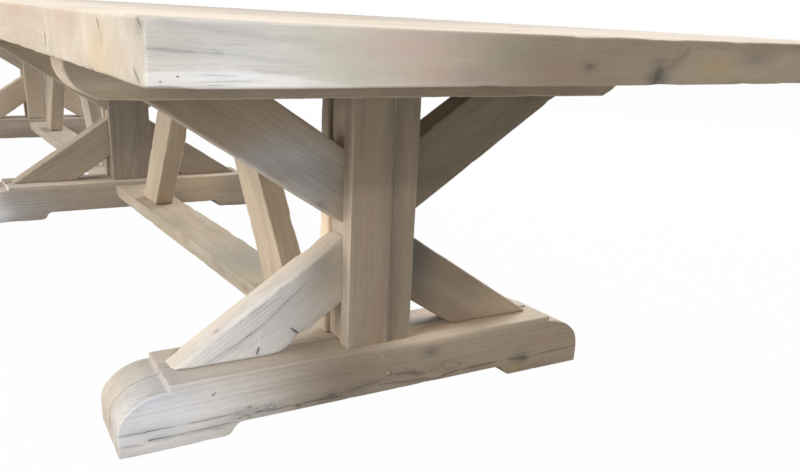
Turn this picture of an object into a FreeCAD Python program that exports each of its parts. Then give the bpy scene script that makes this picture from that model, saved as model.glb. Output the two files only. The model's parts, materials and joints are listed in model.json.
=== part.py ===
import FreeCAD, Part
import math
import os
import re
import Sketcher

# Sawbuck table: a plank top on three trestles, joined by low stretchers and leaning struts.
# X runs along the table, Y across it and Z up. The origin is on the floor under the middle.
# Lengths are in millimetres and angles in degrees.

doc = FreeCAD.newDocument("SawbuckTable")
sheet = doc.addObject("Spreadsheet::Sheet", "Sizes")

drivingSizes = [
    # the whole table
    ("tableLength", 5208),
    ("tableWidth", 1260),
    ("tableHeight", 760),
    ("endOverhang", 714),
    # top: a breadboard across each end and long planks between them
    ("topThickness", 60),
    ("breadboardWidth", 460),
    ("plankCount", 5),
    ("arrisSize", 4),
    ("tongueThickness", 20),
    ("tongueLength", 50),
    ("tongueInset", 40),
    ("splineThickness", 12),
    ("splineWidth", 40),
    ("splineInset", 80),
    # foot: two planks, with a rounded nose, a step on top and an arch between two pads
    ("footLength", 1090),
    ("footHeight", 127),
    ("footPlank", 88),
    ("padLength", 200),
    ("archHeight", 25),
    ("coveRun", 38),
    ("stepLength", 96),
    ("stepDepth", 12),
    ("noseRadius", 108),
    ("toeRadius", 52),
    ("toeHeight", 45),
    # bearer: two planks, with a sloped and rounded nose
    ("bearerPlank", 88),
    ("bearerHeight", 76),
    ("longBearerInset", 49),
    ("shortBearerInset", 75),
    ("bearerNoseRadius", 53),
    ("bearerNoseRise", 58),
    ("bearerNoseSlope", 26),
    # post: a core with a wide and a narrow facing board on each face
    ("coreThickness", 66),
    ("coreWidth", 132),
    ("facingThickness", 34),
    ("facingWidth", 148),
    ("facingSeam", 20),
    ("coreTenonThickness", 33),
    ("coreTenonWidth", 100),
    ("coreFootTenon", 82),
    ("coreBearerTenon", 50),
    # braces, as thick as the core
    ("braceGap", 31),
    ("lowerBraceWidth", 116),
    ("upperBraceWidth", 123),
    ("lowerBraceSetback", 120),
    ("upperBraceSetback", 128),
    # stub tenons of the braces and struts
    ("stubLength", 20),
    ("stubThickness", 22),
    ("stubShoulder", 25),
    ("stubToeShoulder", 60),
    # stretcher
    ("stretcherWidth", 148),
    ("stretcherThickness", 41),
    ("stretcherDrop", 16),
    ("stretcherTenonLength", 60),
    ("stretcherTenonWidth", 100),
    ("stretcherTenonThickness", 22),
    ("stretcherTenonRise", 6),
    # struts, with their depth measured along the table
    ("strutThickness", 62),
    ("strutDepth", 152),
    ("strutSetback", 221),
    ("strutHeadGap", 120),
    # pegs
    ("pegRadius", 6),
    ("pegMargin", 4),
    ("footPegHighSide", 3),
    ("footPegLowSide", 13),
    # coach screws from under the bearers into the top
    ("screwRadius", 4),
    ("screwHeadRadius", 8),
    ("screwHeadHeight", 5),
    ("screwGrip", 38),
    ("screwSide", 30),
    ("screwEndMargin", 81),
    # room round a peg or screw, and at the bottom of a mortise or groove
    ("boreRoom", 0.1),
    ("mortiseRoom", 2),
]

# Sizes that follow from the ones above, as formulas of the sheet.
derivedSizes = [
    ("trestleSpacing", "tableLength / 2 - endOverhang"),
    ("plankWidth", "tableWidth / plankCount"),
    ("plankEnd", "tableLength / 2 - breadboardWidth"),
    ("topUnder", "tableHeight - topThickness"),
    ("tongueUnder", "topUnder + (topThickness - tongueThickness) / 2"),
    ("splineUnder", "topUnder + (topThickness - splineThickness) / 2"),
    ("bearerUnder", "topUnder - bearerHeight"),
    ("footEnd", "footLength / 2"),
    ("padInner", "footEnd - padLength"),
    ("coveRadius", "(coveRun ^ 2 + archHeight ^ 2) / (4 * archHeight)"),
    ("ledge", "footHeight - stepDepth"),
    ("noseZ", "ledge - noseRadius"),
    ("toeY", "footEnd - toeRadius"),
    ("noseY", "toeY - sqrt((noseRadius - toeRadius) ^ 2 - (toeHeight - noseZ) ^ 2)"),
    ("meetY", "toeY + toeRadius * (toeY - noseY) / (noseRadius - toeRadius)"),
    ("meetZ", "toeHeight + toeRadius * (toeHeight - noseZ) / (noseRadius - toeRadius)"),
    ("bearerNoseIn", "bearerNoseRadius * (1 - sin(bearerNoseSlope))"),
    ("bearerNoseUp", "bearerNoseRise - bearerNoseRadius * cos(bearerNoseSlope)"),
    ("bearerNoseFoot", "bearerNoseIn + bearerNoseUp / tan(bearerNoseSlope)"),
    ("lowerReach", "footEnd - lowerBraceSetback"),
    ("upperReach", "tableWidth / 2 - longBearerInset - upperBraceSetback"),
    ("braceRun", "lowerReach + upperReach - facingWidth"),
    ("braceSlope", "(bearerUnder - footHeight - braceGap) / braceRun"),
    ("braceStretch", "sqrt(1 + braceSlope ^ 2)"),
    ("lowerHeel", "lowerReach - lowerBraceWidth * braceStretch / braceSlope"),
    ("upperHeel", "upperReach - upperBraceWidth * braceStretch / braceSlope"),
    ("lowerBraceTop", "footHeight + (lowerReach - coreWidth / 2) * braceSlope"),
    ("lowerBraceUnder", "lowerBraceTop - lowerBraceWidth * braceStretch"),
    ("upperBraceUnder", "bearerUnder - (upperReach - coreWidth / 2) * braceSlope"),
    ("upperBraceTop", "upperBraceUnder + upperBraceWidth * braceStretch"),
    ("stretcherTop", "footHeight - stretcherDrop"),
    ("stretcherUnder", "stretcherTop - stretcherThickness"),
    ("stretcherTenonUnder", "stretcherUnder + stretcherTenonRise"),
    ("stretcherTenonTop", "stretcherTenonUnder + stretcherTenonThickness"),
    ("bayCentre", "trestleSpacing / 2"),
    ("bayHalf", "bayCentre - footPlank"),
    ("strutFootX", "bayHalf - strutSetback - strutDepth / 2"),
    ("strutHeadX", "(strutHeadGap + strutDepth) / 2"),
    ("strutStubHalf", "strutDepth / 2 - stubShoulder"),
    ("footPegHigh", "stretcherTenonTop + pegMargin + pegRadius"),
    ("footPegLow", "stretcherTenonUnder - pegMargin - pegRadius"),
    ("boreRadius", "pegRadius + boreRoom"),
    ("screwPitch", "(tableWidth / 2 - longBearerInset - screwEndMargin) / 1.5"),
    ("screwBoreRadius", "screwRadius + boreRoom"),
]

rows = drivingSizes + [(alias, "=" + formula) for alias, formula in derivedSizes]
for row, (alias, content) in enumerate(rows, 1):
    sheet.set("A%d" % row, alias)
    sheet.set("B%d" % row, str(content))
    sheet.setAlias("B%d" % row, alias)
aliases = {alias for alias, content in rows}
doc.recompute()


def inSheet(formula):
    # the formula with each alias written as the document's expressions need it
    def full(word):
        return "Sizes." + word.group() if word.group() in aliases else word.group()
    return re.sub(r"[A-Za-z]\w*", full, str(formula))


def value(formula):
    return float(sheet.evalExpression(inSheet(formula)))


def tie(item, prop, formula):
    item.setExpression(prop, inSheet(formula))


# ---- sketches and features ----

nodes = []
# A sketch's normal points to plus on the YZ and XY planes and to minus on the XZ plane.
normals = {"YZ": 1, "XZ": -1, "XY": 1}


def newBody(label, placeX=None):
    body = doc.addObject("PartDesign::Body", label)
    body.Label = label
    if placeX:
        tie(body, "Placement.Base.x", placeX)
    nodes.append(body)
    return body


def originPlane(body, plane):
    return [item for item in body.Origin.OriginFeatures if item.Role == plane + "_Plane"][0]


def newSketch(body, plane, start):
    sketch = body.newObject("Sketcher::SketchObject", "Sketch")
    sketch.AttachmentSupport = [(originPlane(body, plane), "")]
    sketch.MapMode = "FlatFace"
    sign = "" if normals[plane] > 0 else "-"
    tie(sketch, "AttachmentOffset.Base.z", "%s(%s)" % (sign, start))
    return sketch


def lock(sketch, kind, ends, formula):
    # a driving constraint whose value is a formula of the sheet
    index = sketch.addConstraint(Sketcher.Constraint(kind, *ends, value(formula)))
    tie(sketch, "Constraints[%d]" % index, formula)


def arc(start, finish, radius, turn):
    # the shorter arc between two points: turn is 1 anticlockwise and -1 clockwise
    chord = finish - start
    reach = math.sqrt(radius ** 2 - chord.Length ** 2 / 4)
    left = FreeCAD.Vector(-chord.y, chord.x, 0).normalize()
    centre = (start + finish) / 2 + left * reach * turn
    spokes = [point - centre for point in (start, finish)[::turn]]
    first, last = [math.atan2(spoke.y, spoke.x) for spoke in spokes]
    if last < first:
        last += 2 * math.pi
    return Part.ArcOfCircle(Part.Circle(centre, FreeCAD.Vector(0, 0, 1), radius), first, last)


def outline(sketch, points, bends=None):
    # A closed outline through points, which are pairs of formulas. bends gives the radius
    # and turn of the arcs, by the number of the point where each one starts.
    bends = bends or {}
    corners = [FreeCAD.Vector(value(a), value(b), 0) for a, b in points]
    base, count = sketch.GeometryCount, len(corners)
    enters = []
    for i, start in enumerate(corners):
        finish = corners[(i + 1) % count]
        radius, turn = bends.get(i, (None, 1))
        edge = arc(start, finish, value(radius), turn) if radius else Part.LineSegment(start, finish)
        sketch.addGeometry(edge, False)
        enters.append(1 if turn > 0 else 2)
    for i in range(count):
        after = (i + 1) % count
        ends = (base + i, 3 - enters[i], base + after, enters[after])
        sketch.addConstraint(Sketcher.Constraint("Coincident", *ends))
    for i, (a, b) in enumerate(points):
        lock(sketch, "DistanceX", (-1, 1, base + i, enters[i]), a)
        lock(sketch, "DistanceY", (-1, 1, base + i, enters[i]), b)
    for i, (radius, turn) in bends.items():
        lock(sketch, "Radius", (base + i,), radius)


def circle(sketch, centre, radius):
    middle = FreeCAD.Vector(value(centre[0]), value(centre[1]), 0)
    shape = Part.Circle(middle, FreeCAD.Vector(0, 0, 1), value(radius))
    index = sketch.addGeometry(shape, False)
    lock(sketch, "Radius", (index,), radius)
    lock(sketch, "DistanceX", (-1, 1, index, 3), centre[0])
    lock(sketch, "DistanceY", (-1, 1, index, 3), centre[1])


def extrude(body, kind, sketch, length):
    # a Pad or a Pocket of the sketch, always towards plus along the plane's axis
    before = body.Shape.Volume if body.Tip else 0
    feature = body.newObject("PartDesign::" + kind, kind)
    feature.Profile = sketch
    tie(feature, "Length", length)
    normal = normals[sketch.AttachmentSupport[0][0].Role[:2]]
    feature.Reversed = normal < 0 if kind == "Pad" else normal > 0
    feature.Refine = True
    doc.recompute()
    grown = body.Shape.Volume - before
    if (grown if kind == "Pad" else -grown) < 1:
        raise ValueError("%s: a %s changed nothing" % (body.Label, kind))
    return feature


def prism(body, kind, plane, start, length, *outlines):
    sketch = newSketch(body, plane, start)
    for points in outlines:
        outline(sketch, points)
    return extrude(body, kind, sketch, length)


def rods(body, kind, plane, start, length, centres, radius):
    sketch = newSketch(body, plane, start)
    for centre in centres:
        circle(sketch, centre, radius)
    return extrude(body, kind, sketch, length)


def mirrorAcross(body, feature):
    # the feature again on the other side of the body's XZ plane
    mirrored = body.newObject("PartDesign::Mirrored", "Mirrored")
    mirrored.Originals = [feature]
    mirrored.MirrorPlane = (originPlane(body, "XZ"), [""])
    mirrored.Refine = True
    body.Tip = mirrored
    doc.recompute()


def ease(body, wanted):
    # plane off the sharp edges whose middle is wanted
    base = body.Tip
    edges = enumerate(base.Shape.Edges, 1)
    chosen = ["Edge%d" % i for i, edge in edges if wanted(edge.CenterOfMass)]
    chamfer = body.newObject("PartDesign::Chamfer", "Chamfer")
    chamfer.Base = (base, chosen)
    tie(chamfer, "Size", "arrisSize")
    doc.recompute()


def rectangle(a0, a1, b0, b1):
    return [(a0, b0), (a1, b0), (a1, b1), (a0, b1)]


def across(points, side):
    # the points on the back (1) or the front (-1) side of the trestle
    return points if side > 0 else [("-(%s)" % a, b) for a, b in points]


def bothSides(points):
    return across(points, 1), across(points, -1)


# ---- names and shared places ----

# Where each trestle stands, and which of its faces has the longer bearer plank.
trestlePlaces = {"left": "-trestleSpacing", "middle": None, "right": "trestleSpacing"}
longBearerFace = {"left": -1, "middle": -1, "right": 1}
# A face is -1 towards minus X and 1 towards plus X.
faceNames = {
    "left": {-1: "outer", 1: "inner"},
    "middle": {-1: "left", 1: "right"},
    "right": {-1: "inner", 1: "outer"},
}
sideNames = {-1: "front", 1: "back"}
bayPlaces = {"left": "-bayCentre", "right": "bayCentre"}

# Stubs of the braces: how far from the middle, or how high, each one starts and ends.
lowerFootStub = ("lowerHeel + stubShoulder", "lowerReach - stubToeShoulder")
upperBearerStub = ("upperHeel + stubShoulder", "upperReach - stubToeShoulder")
lowerCoreStub = ("lowerBraceUnder + stubShoulder", "lowerBraceTop - stubShoulder")
upperCoreStub = ("upperBraceUnder + stubShoulder", "upperBraceTop - stubShoulder")

footPegs = [("footPegHighSide", "footPegHigh"), ("-footPegLowSide", "footPegLow")]

# Screws of one bearer: every other one stands in the plank of the other face.
screwSteps = [-1.5, -0.5, 0.5, 1.5]


def screwPlaces(trestle, face):
    # the middle trestle, which stands at no distance, has the two outer screws only
    steps = screwSteps if trestlePlaces[trestle] else screwSteps[::3]
    places = steps[0 if face < 0 else 1::2]
    return [("%d * screwSide" % face, "%s * screwPitch" % step) for step in places]


def allScrews():
    # the screws of all the bearers, in the table's own X and Y
    return [("%s + %s" % (place or 0, x), y) for trestle, place in trestlePlaces.items()
            for face in (-1, 1) for x, y in screwPlaces(trestle, face)]


def plankSpan(index):
    # the formulas of one long plank's front and back edges
    return ["-tableWidth / 2 + %d * plankWidth" % i for i in (index, index + 1)]


def reaches(index, y, reach):
    # whether something at y, reach wide to each side, meets the long plank
    low, high = [value(edge) for edge in plankSpan(index)]
    return low < value(y) + value(reach) and high > value(y) - value(reach)


# ---- trestle ----

def footPlank(trestle, face):
    body = newBody("%s_foot_%s_plank" % (trestle, faceNames[trestle][face]), trestlePlaces[trestle])
    start = "-footPlank" if face < 0 else "0 * footPlank"
    sketch = newSketch(body, "YZ", start)
    zero = "0 * footPlank"
    outline(sketch, [
        (zero, "archHeight"),
        ("padInner - coveRun", "archHeight"),
        ("padInner - coveRun / 2", "archHeight / 2"),
        ("padInner", zero),
        ("footEnd", zero),
        ("footEnd", "toeHeight"),
        ("meetY", "meetZ"),
        ("noseY", "ledge"),
        ("footEnd - stepLength", "ledge"),
        ("footEnd - stepLength", "footHeight"),
        (zero, "footHeight"),
    ], {1: ("coveRadius", -1), 2: ("coveRadius", 1), 5: ("toeRadius", 1), 6: ("noseRadius", 1)})
    mirrorAcross(body, extrude(body, "Pad", sketch, "footPlank"))
    # half of the core's mortise and of the braces' mortises
    start = "-coreTenonThickness / 2" if face < 0 else zero
    low = "footHeight - coreFootTenon - mortiseRoom"
    slot = rectangle("-coreTenonWidth / 2", "coreTenonWidth / 2", low, "footHeight")
    prism(body, "Pocket", "YZ", start, "coreTenonThickness / 2", slot)
    start = "-stubThickness / 2" if face < 0 else zero
    slot = rectangle(*lowerFootStub, "footHeight - stubLength - mortiseRoom", "footHeight")
    prism(body, "Pocket", "YZ", start, "stubThickness / 2", *bothSides(slot))
    if faceNames[trestle][face] != "outer":
        start = "-footPlank" if face < 0 else "footPlank - stretcherTenonLength - mortiseRoom"
        slot = rectangle("-stretcherTenonWidth / 2", "stretcherTenonWidth / 2",
                         "stretcherTenonUnder", "stretcherTenonTop")
        prism(body, "Pocket", "YZ", start, "stretcherTenonLength + mortiseRoom", slot)
    start = "-footPlank" if face < 0 else zero
    rods(body, "Pocket", "YZ", start, "footPlank", footPegs, "boreRadius")


def bearerPlank(trestle, face):
    name = "%s_bearer_%s_plank" % (trestle, faceNames[trestle][face])
    body = newBody(name, trestlePlaces[trestle])
    inset = "longBearerInset" if face == longBearerFace[trestle] else "shortBearerInset"
    end = "tableWidth / 2 - " + inset
    zero = "0 * bearerPlank"
    whole = "-bearerPlank" if face < 0 else zero
    sketch = newSketch(body, "YZ", whole)
    outline(sketch, [
        (zero, "bearerUnder"),
        (end + " - bearerNoseFoot", "bearerUnder"),
        (end + " - bearerNoseIn", "bearerUnder + bearerNoseUp"),
        (end, "bearerUnder + bearerNoseRise"),
        (end, "topUnder"),
        (zero, "topUnder"),
    ], {2: ("bearerNoseRadius", 1)})
    mirrorAcross(body, extrude(body, "Pad", sketch, "bearerPlank"))
    start = "-coreTenonThickness / 2" if face < 0 else zero
    high = "bearerUnder + coreBearerTenon + mortiseRoom"
    slot = rectangle("-coreTenonWidth / 2", "coreTenonWidth / 2", "bearerUnder", high)
    prism(body, "Pocket", "YZ", start, "coreTenonThickness / 2", slot)
    start = "-stubThickness / 2" if face < 0 else zero
    slot = rectangle(*upperBearerStub, "bearerUnder", "bearerUnder + stubLength + mortiseRoom")
    prism(body, "Pocket", "YZ", start, "stubThickness / 2", *bothSides(slot))
    places = screwPlaces(trestle, face)
    rods(body, "Pocket", "XY", "bearerUnder", "bearerHeight", places, "screwBoreRadius")


def postCore(trestle):
    body = newBody("%s_post_core" % trestle, trestlePlaces[trestle])
    half = "coreWidth / 2"
    prism(body, "Pad", "YZ", "-coreThickness / 2", "coreThickness",
          rectangle("-" + half, half, "footHeight", "bearerUnder"))
    side = "coreTenonWidth / 2"
    prism(body, "Pad", "YZ", "-coreTenonThickness / 2", "coreTenonThickness",
          rectangle("-" + side, side, "footHeight - coreFootTenon", "footHeight"),
          rectangle("-" + side, side, "bearerUnder", "bearerUnder + coreBearerTenon"))
    slots = []
    for stub in (lowerCoreStub, upperCoreStub):
        slots += bothSides(rectangle("coreWidth / 2 - stubLength - mortiseRoom", half, *stub))
    prism(body, "Pocket", "YZ", "-stubThickness / 2", "stubThickness", *slots)
    rods(body, "Pocket", "YZ", "-coreTenonThickness / 2", "coreTenonThickness",
         footPegs, "boreRadius")


def postFacing(trestle, face, kind):
    name = "%s_post_%s_%s_facing" % (trestle, faceNames[trestle][face], kind)
    body = newBody(name, trestlePlaces[trestle])
    start = "-coreThickness / 2 - facingThickness" if face < 0 else "coreThickness / 2"
    if kind == "wide":
        points = rectangle("-facingSeam", "facingWidth / 2", "footHeight", "bearerUnder")
    else:
        points = rectangle("-facingWidth / 2", "-facingSeam", "footHeight", "bearerUnder")
    prism(body, "Pad", "YZ", start, "facingThickness", across(points, -face))


def brace(trestle, level, side):
    name = "%s_%s_%s_brace" % (trestle, level, sideNames[side])
    body = newBody(name, trestlePlaces[trestle])
    half = "coreWidth / 2"
    if level == "lower":
        points = [(half, "lowerBraceUnder"), ("lowerHeel", "footHeight"),
                  ("lowerReach", "footHeight"), (half, "lowerBraceTop")]
        endStub = rectangle(*lowerFootStub, "footHeight - stubLength", "footHeight")
        coreStub = lowerCoreStub
    else:
        points = [(half, "upperBraceUnder"), ("upperReach", "bearerUnder"),
                  ("upperHeel", "bearerUnder"), (half, "upperBraceTop")]
        endStub = rectangle(*upperBearerStub, "bearerUnder", "bearerUnder + stubLength")
        coreStub = upperCoreStub
    prism(body, "Pad", "YZ", "-coreThickness / 2", "coreThickness", across(points, side))
    coreStub = rectangle("coreWidth / 2 - stubLength", half, *coreStub)
    prism(body, "Pad", "YZ", "-stubThickness / 2", "stubThickness",
          across(endStub, side), across(coreStub, side))


def pegs(trestle):
    body = newBody("%s_foot_pegs" % trestle, trestlePlaces[trestle])
    body.AllowCompound = True
    rods(body, "Pad", "YZ", "-footPlank", "2 * footPlank", footPegs, "pegRadius")


# ---- bays between the trestles ----

def stretcher(bay):
    body = newBody("%s_stretcher" % bay, bayPlaces[bay])
    side = "stretcherWidth / 2"
    prism(body, "Pad", "XZ", "-" + side, "stretcherWidth",
          rectangle("-bayHalf", "bayHalf", "stretcherUnder", "stretcherTop"))
    end = "bayHalf + stretcherTenonLength"
    prism(body, "Pad", "XZ", "-stretcherTenonWidth / 2", "stretcherTenonWidth",
          rectangle("-bayHalf", "-(%s)" % end, "stretcherTenonUnder", "stretcherTenonTop"),
          rectangle("bayHalf", end, "stretcherTenonUnder", "stretcherTenonTop"))
    slot = rectangle("strutFootX - strutStubHalf", "strutFootX + strutStubHalf",
                     "stretcherTop - stubLength - mortiseRoom", "stretcherTop")
    prism(body, "Pocket", "XZ", "-stubThickness / 2", "stubThickness", *bothSides(slot))


def strut(bay, end):
    # end is -1 for the strut on the left of its bay and 1 for the one on the right
    towards = "outer" if (bay == "left") == (end < 0) else "inner"
    body = newBody("%s_%s_strut" % (bay, towards), bayPlaces[bay])
    half = "strutDepth / 2"
    points = [("strutFootX + " + half, "stretcherTop"), ("strutFootX - " + half, "stretcherTop"),
              ("strutHeadX - " + half, "topUnder"), ("strutHeadX + " + half, "topUnder")]
    prism(body, "Pad", "XZ", "-strutThickness / 2", "strutThickness", across(points, end))
    footStub = rectangle("strutFootX - strutStubHalf", "strutFootX + strutStubHalf",
                         "stretcherTop - stubLength", "stretcherTop")
    headStub = rectangle("strutHeadX - strutStubHalf", "strutHeadX + strutStubHalf",
                         "topUnder", "topUnder + stubLength")
    prism(body, "Pad", "XZ", "-stubThickness / 2", "stubThickness",
          across(footStub, end), across(headStub, end))


# ---- top ----

def longPlank(index, count):
    body = newBody("top_plank_%d" % (index + 1))
    front, back = plankSpan(index)
    prism(body, "Pad", "XY", "topUnder", "topThickness",
          rectangle("-plankEnd", "plankEnd", front, back))
    outer = value("tableWidth / 2")
    if index in (0, count - 1):
        ease(body, lambda middle: abs(abs(middle.y) - outer) < 0.1 and abs(middle.x) < 1)
    # tongues for the breadboards, kept back from the table's sides
    tongueFront = front + (" + tongueInset" if index == 0 else "")
    tongueBack = back + (" - tongueInset" if index == count - 1 else "")
    end = "plankEnd + tongueLength"
    prism(body, "Pad", "XY", "tongueUnder", "tongueThickness",
          rectangle("plankEnd", end, tongueFront, tongueBack),
          rectangle("-(%s)" % end, "-plankEnd", tongueFront, tongueBack))
    # grooves for the splines
    half, deep = "plankEnd - splineInset", "splineWidth / 2 + mortiseRoom"
    slots = []
    if index > 0:
        slots.append(rectangle("-(%s)" % half, half, front, "%s + %s" % (front, deep)))
    if index < count - 1:
        slots.append(rectangle("-(%s)" % half, half, "%s - (%s)" % (back, deep), back))
    prism(body, "Pocket", "XY", "splineUnder", "splineThickness", *slots)
    # screw holes and the mortises for the heads of the struts
    holes = [(x, y) for x, y in allScrews() if reaches(index, y, "screwBoreRadius")]
    if holes:
        deep = "screwGrip + mortiseRoom"
        rods(body, "Pocket", "XY", "topUnder", deep, holes, "screwBoreRadius")
    if reaches(index, "0 * tableWidth", "stubThickness / 2"):
        slots = []
        for bay in bayPlaces.values():
            for end in ("-", ""):
                middle = "%s + %s(strutHeadX)" % (bay, end or "1 * ")
                slots.append(rectangle("%s - strutStubHalf" % middle, "%s + strutStubHalf" % middle,
                                       "-stubThickness / 2", "stubThickness / 2"))
        prism(body, "Pocket", "XY", "topUnder", "stubLength + mortiseRoom", *slots)


def breadboard(end):
    body = newBody("%s_breadboard" % ("left" if end < 0 else "right"))
    near, far = "%d * plankEnd" % end, "%d * tableLength / 2" % end
    half = "tableWidth / 2"
    prism(body, "Pad", "XY", "topUnder", "topThickness", rectangle(near, far, "-" + half, half))
    outerX, outerY = value("tableLength / 2"), value(half)
    ease(body, lambda middle: abs(abs(middle.x) - outerX) < 0.1 or abs(abs(middle.y) - outerY) < 0.1
         and abs(abs(middle.x) - value("plankEnd")) > 1)
    groove = "%d * (plankEnd + tongueLength + mortiseRoom)" % end
    side = "tableWidth / 2 - tongueInset"
    prism(body, "Pocket", "XY", "tongueUnder", "tongueThickness",
          rectangle(near, groove, "-(%s)" % side, side))


def splines(count):
    body = newBody("top_splines")
    body.AllowCompound = True
    half = "plankEnd - splineInset"
    slips = []
    for i in range(1, count):
        seam = plankSpan(i)[0]
        slips.append(rectangle("-(%s)" % half, half, seam + " - splineWidth / 2",
                               seam + " + splineWidth / 2"))
    prism(body, "Pad", "XY", "splineUnder", "splineThickness", *slips)


def topScrews():
    body = newBody("top_screws")
    body.AllowCompound = True
    corners = [("screwHeadRadius * cos(%d)" % turn, "screwHeadRadius * sin(%d)" % turn)
               for turn in range(0, 360, 60)]
    heads = [[("%s + %s" % (x, a), "%s + %s" % (y, b)) for a, b in corners] for x, y in allScrews()]
    prism(body, "Pad", "XY", "bearerUnder - screwHeadHeight", "screwHeadHeight", *heads)
    rods(body, "Pad", "XY", "bearerUnder", "bearerHeight + screwGrip", allScrews(), "screwRadius")


# ---- the table ----

for trestle in trestlePlaces:
    for face in (-1, 1):
        footPlank(trestle, face)
        bearerPlank(trestle, face)
        postFacing(trestle, face, "wide")
        postFacing(trestle, face, "narrow")
    postCore(trestle)
    for side in (-1, 1):
        brace(trestle, "lower", side)
        brace(trestle, "upper", side)
    pegs(trestle)
for bay in bayPlaces:
    stretcher(bay)
    strut(bay, -1)
    strut(bay, 1)
planks = int(value("plankCount"))
for index in range(planks):
    longPlank(index, planks)
breadboard(-1)
breadboard(1)
splines(planks)
topScrews()
doc.recompute()

for item in doc.Objects:
    if "Invalid" in item.State or "Error" in item.State:
        raise ValueError("%s: %s" % (item.Label, item.State))
for body in nodes:
    if body.Shape.isNull() or not body.Shape.isValid() or not body.Shape.Solids:
        raise ValueError("%s has no valid solid" % body.Label)

os.makedirs("parts", exist_ok=True)
for body in nodes:
    body.Shape.exportStep("parts/%s.step" % body.Label)
    print(body.Label, len(body.Shape.Solids), round(body.Shape.Volume / 1e6, 3))
print(len(nodes), "nodes")
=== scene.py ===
import json
import math
import random

import bmesh
import bpy
import numpy as np
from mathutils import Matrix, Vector, noise

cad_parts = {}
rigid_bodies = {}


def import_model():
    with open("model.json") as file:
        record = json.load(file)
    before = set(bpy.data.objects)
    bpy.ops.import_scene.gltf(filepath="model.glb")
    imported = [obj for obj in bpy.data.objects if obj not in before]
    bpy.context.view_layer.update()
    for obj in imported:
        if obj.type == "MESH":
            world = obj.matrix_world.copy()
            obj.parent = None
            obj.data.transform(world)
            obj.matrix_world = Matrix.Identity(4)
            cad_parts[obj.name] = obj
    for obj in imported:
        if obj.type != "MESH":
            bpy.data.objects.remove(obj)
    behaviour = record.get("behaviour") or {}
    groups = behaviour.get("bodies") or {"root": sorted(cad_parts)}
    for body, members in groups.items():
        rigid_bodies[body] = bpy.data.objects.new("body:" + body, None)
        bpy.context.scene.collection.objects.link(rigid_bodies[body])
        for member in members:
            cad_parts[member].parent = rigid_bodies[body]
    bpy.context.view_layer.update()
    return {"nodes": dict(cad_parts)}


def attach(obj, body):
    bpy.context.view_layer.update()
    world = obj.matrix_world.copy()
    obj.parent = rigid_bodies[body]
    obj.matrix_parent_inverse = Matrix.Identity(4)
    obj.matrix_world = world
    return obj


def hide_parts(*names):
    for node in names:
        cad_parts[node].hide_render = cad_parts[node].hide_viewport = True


# Sawbuck table in bleached, weathered timber: metres, floor at z 0, long side along X.

scene = bpy.context.scene
for item in list(bpy.data.objects):
    bpy.data.objects.remove(item, do_unlink=True)

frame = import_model()
print("frame loaded:", len(frame["nodes"]), "nodes")

cameraView = {
    "place": (-3.35172, 0.83618, 0.7712),
    "turn": (69.14883, -2.62828, -121.45256),  # degrees, XYZ
    "lens": 37.744,
    "shiftY": 0.12,
}


def addToScene(name, data):
    # a new object in the scene
    item = bpy.data.objects.new(name, data)
    scene.collection.objects.link(item)
    return item


def makeCamera(view):
    data = bpy.data.cameras.new("tableCamera")
    data.sensor_fit = "HORIZONTAL"
    data.sensor_width = 36
    data.lens = view["lens"]
    data.shift_y = view["shiftY"]
    data.clip_start = 0.02
    data.clip_end = 100
    camera = addToScene("tableCamera", data)
    camera.location = view["place"]
    camera.rotation_euler = [math.radians(angle) for angle in view["turn"]]
    scene.camera = camera


makeCamera(cameraView)


def feed(tree, socket, value):
    if isinstance(value, bpy.types.NodeSocket):
        tree.links.new(value, socket)
    elif socket.type == "RGBA" and len(value) == 3:
        socket.default_value = (*value, 1)
    else:
        socket.default_value = value


def calc(tree, operation, *values, clamp=False):
    node = tree.nodes.new("ShaderNodeMath")
    node.operation = operation
    node.use_clamp = clamp
    for socket, value in zip(node.inputs, values):
        feed(tree, socket, value)
    return node.outputs[0]


def times(tree, one, other, clamp=False):
    return calc(tree, "MULTIPLY", one, other, clamp=clamp)


def timesAdd(tree, one, other, more, clamp=False):
    return calc(tree, "MULTIPLY_ADD", one, other, more, clamp=clamp)


def calcVector(tree, operation, *values):
    node = tree.nodes.new("ShaderNodeVectorMath")
    node.operation = operation
    for socket, value in zip(node.inputs, values):
        feed(tree, socket, value)
    return node.outputs["Value" if operation in ("LENGTH", "DOT_PRODUCT", "DISTANCE") else "Vector"]


def scaled(tree, vector, amount):
    node = tree.nodes.new("ShaderNodeVectorMath")
    node.operation = "SCALE"
    feed(tree, node.inputs[0], vector)
    feed(tree, node.inputs["Scale"], amount)
    return node.outputs[0]


def between(tree, value, low, high):
    # 0 at low and 1 at high, with soft ends
    node = tree.nodes.new("ShaderNodeMapRange")
    node.interpolation_type = "SMOOTHSTEP"
    feed(tree, node.inputs["Value"], value)
    feed(tree, node.inputs["From Min"], low)
    feed(tree, node.inputs["From Max"], high)
    return node.outputs["Result"]


def opposite(tree, value):
    return calc(tree, "SUBTRACT", 1.0, value)


def noiseAt(tree, where, stretch, detail=2.0, rough=0.5, bend=0.0, output="Fac"):
    # stretch is how many features there are to the metre along each axis
    node = tree.nodes.new("ShaderNodeTexNoise")
    node.inputs["Scale"].default_value = 1
    node.inputs["Detail"].default_value = detail
    node.inputs["Roughness"].default_value = rough
    node.inputs["Distortion"].default_value = bend
    feed(tree, node.inputs["Vector"], calcVector(tree, "MULTIPLY", where, stretch))
    return node.outputs[output]


def blend(tree, share, one, other, mode="MIX"):
    node = tree.nodes.new("ShaderNodeMix")
    node.data_type = "RGBA"
    node.blend_type = mode
    for index, value in ((0, share), (6, one), (7, other)):
        feed(tree, node.inputs[index], value)
    return node.outputs[2]


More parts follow.
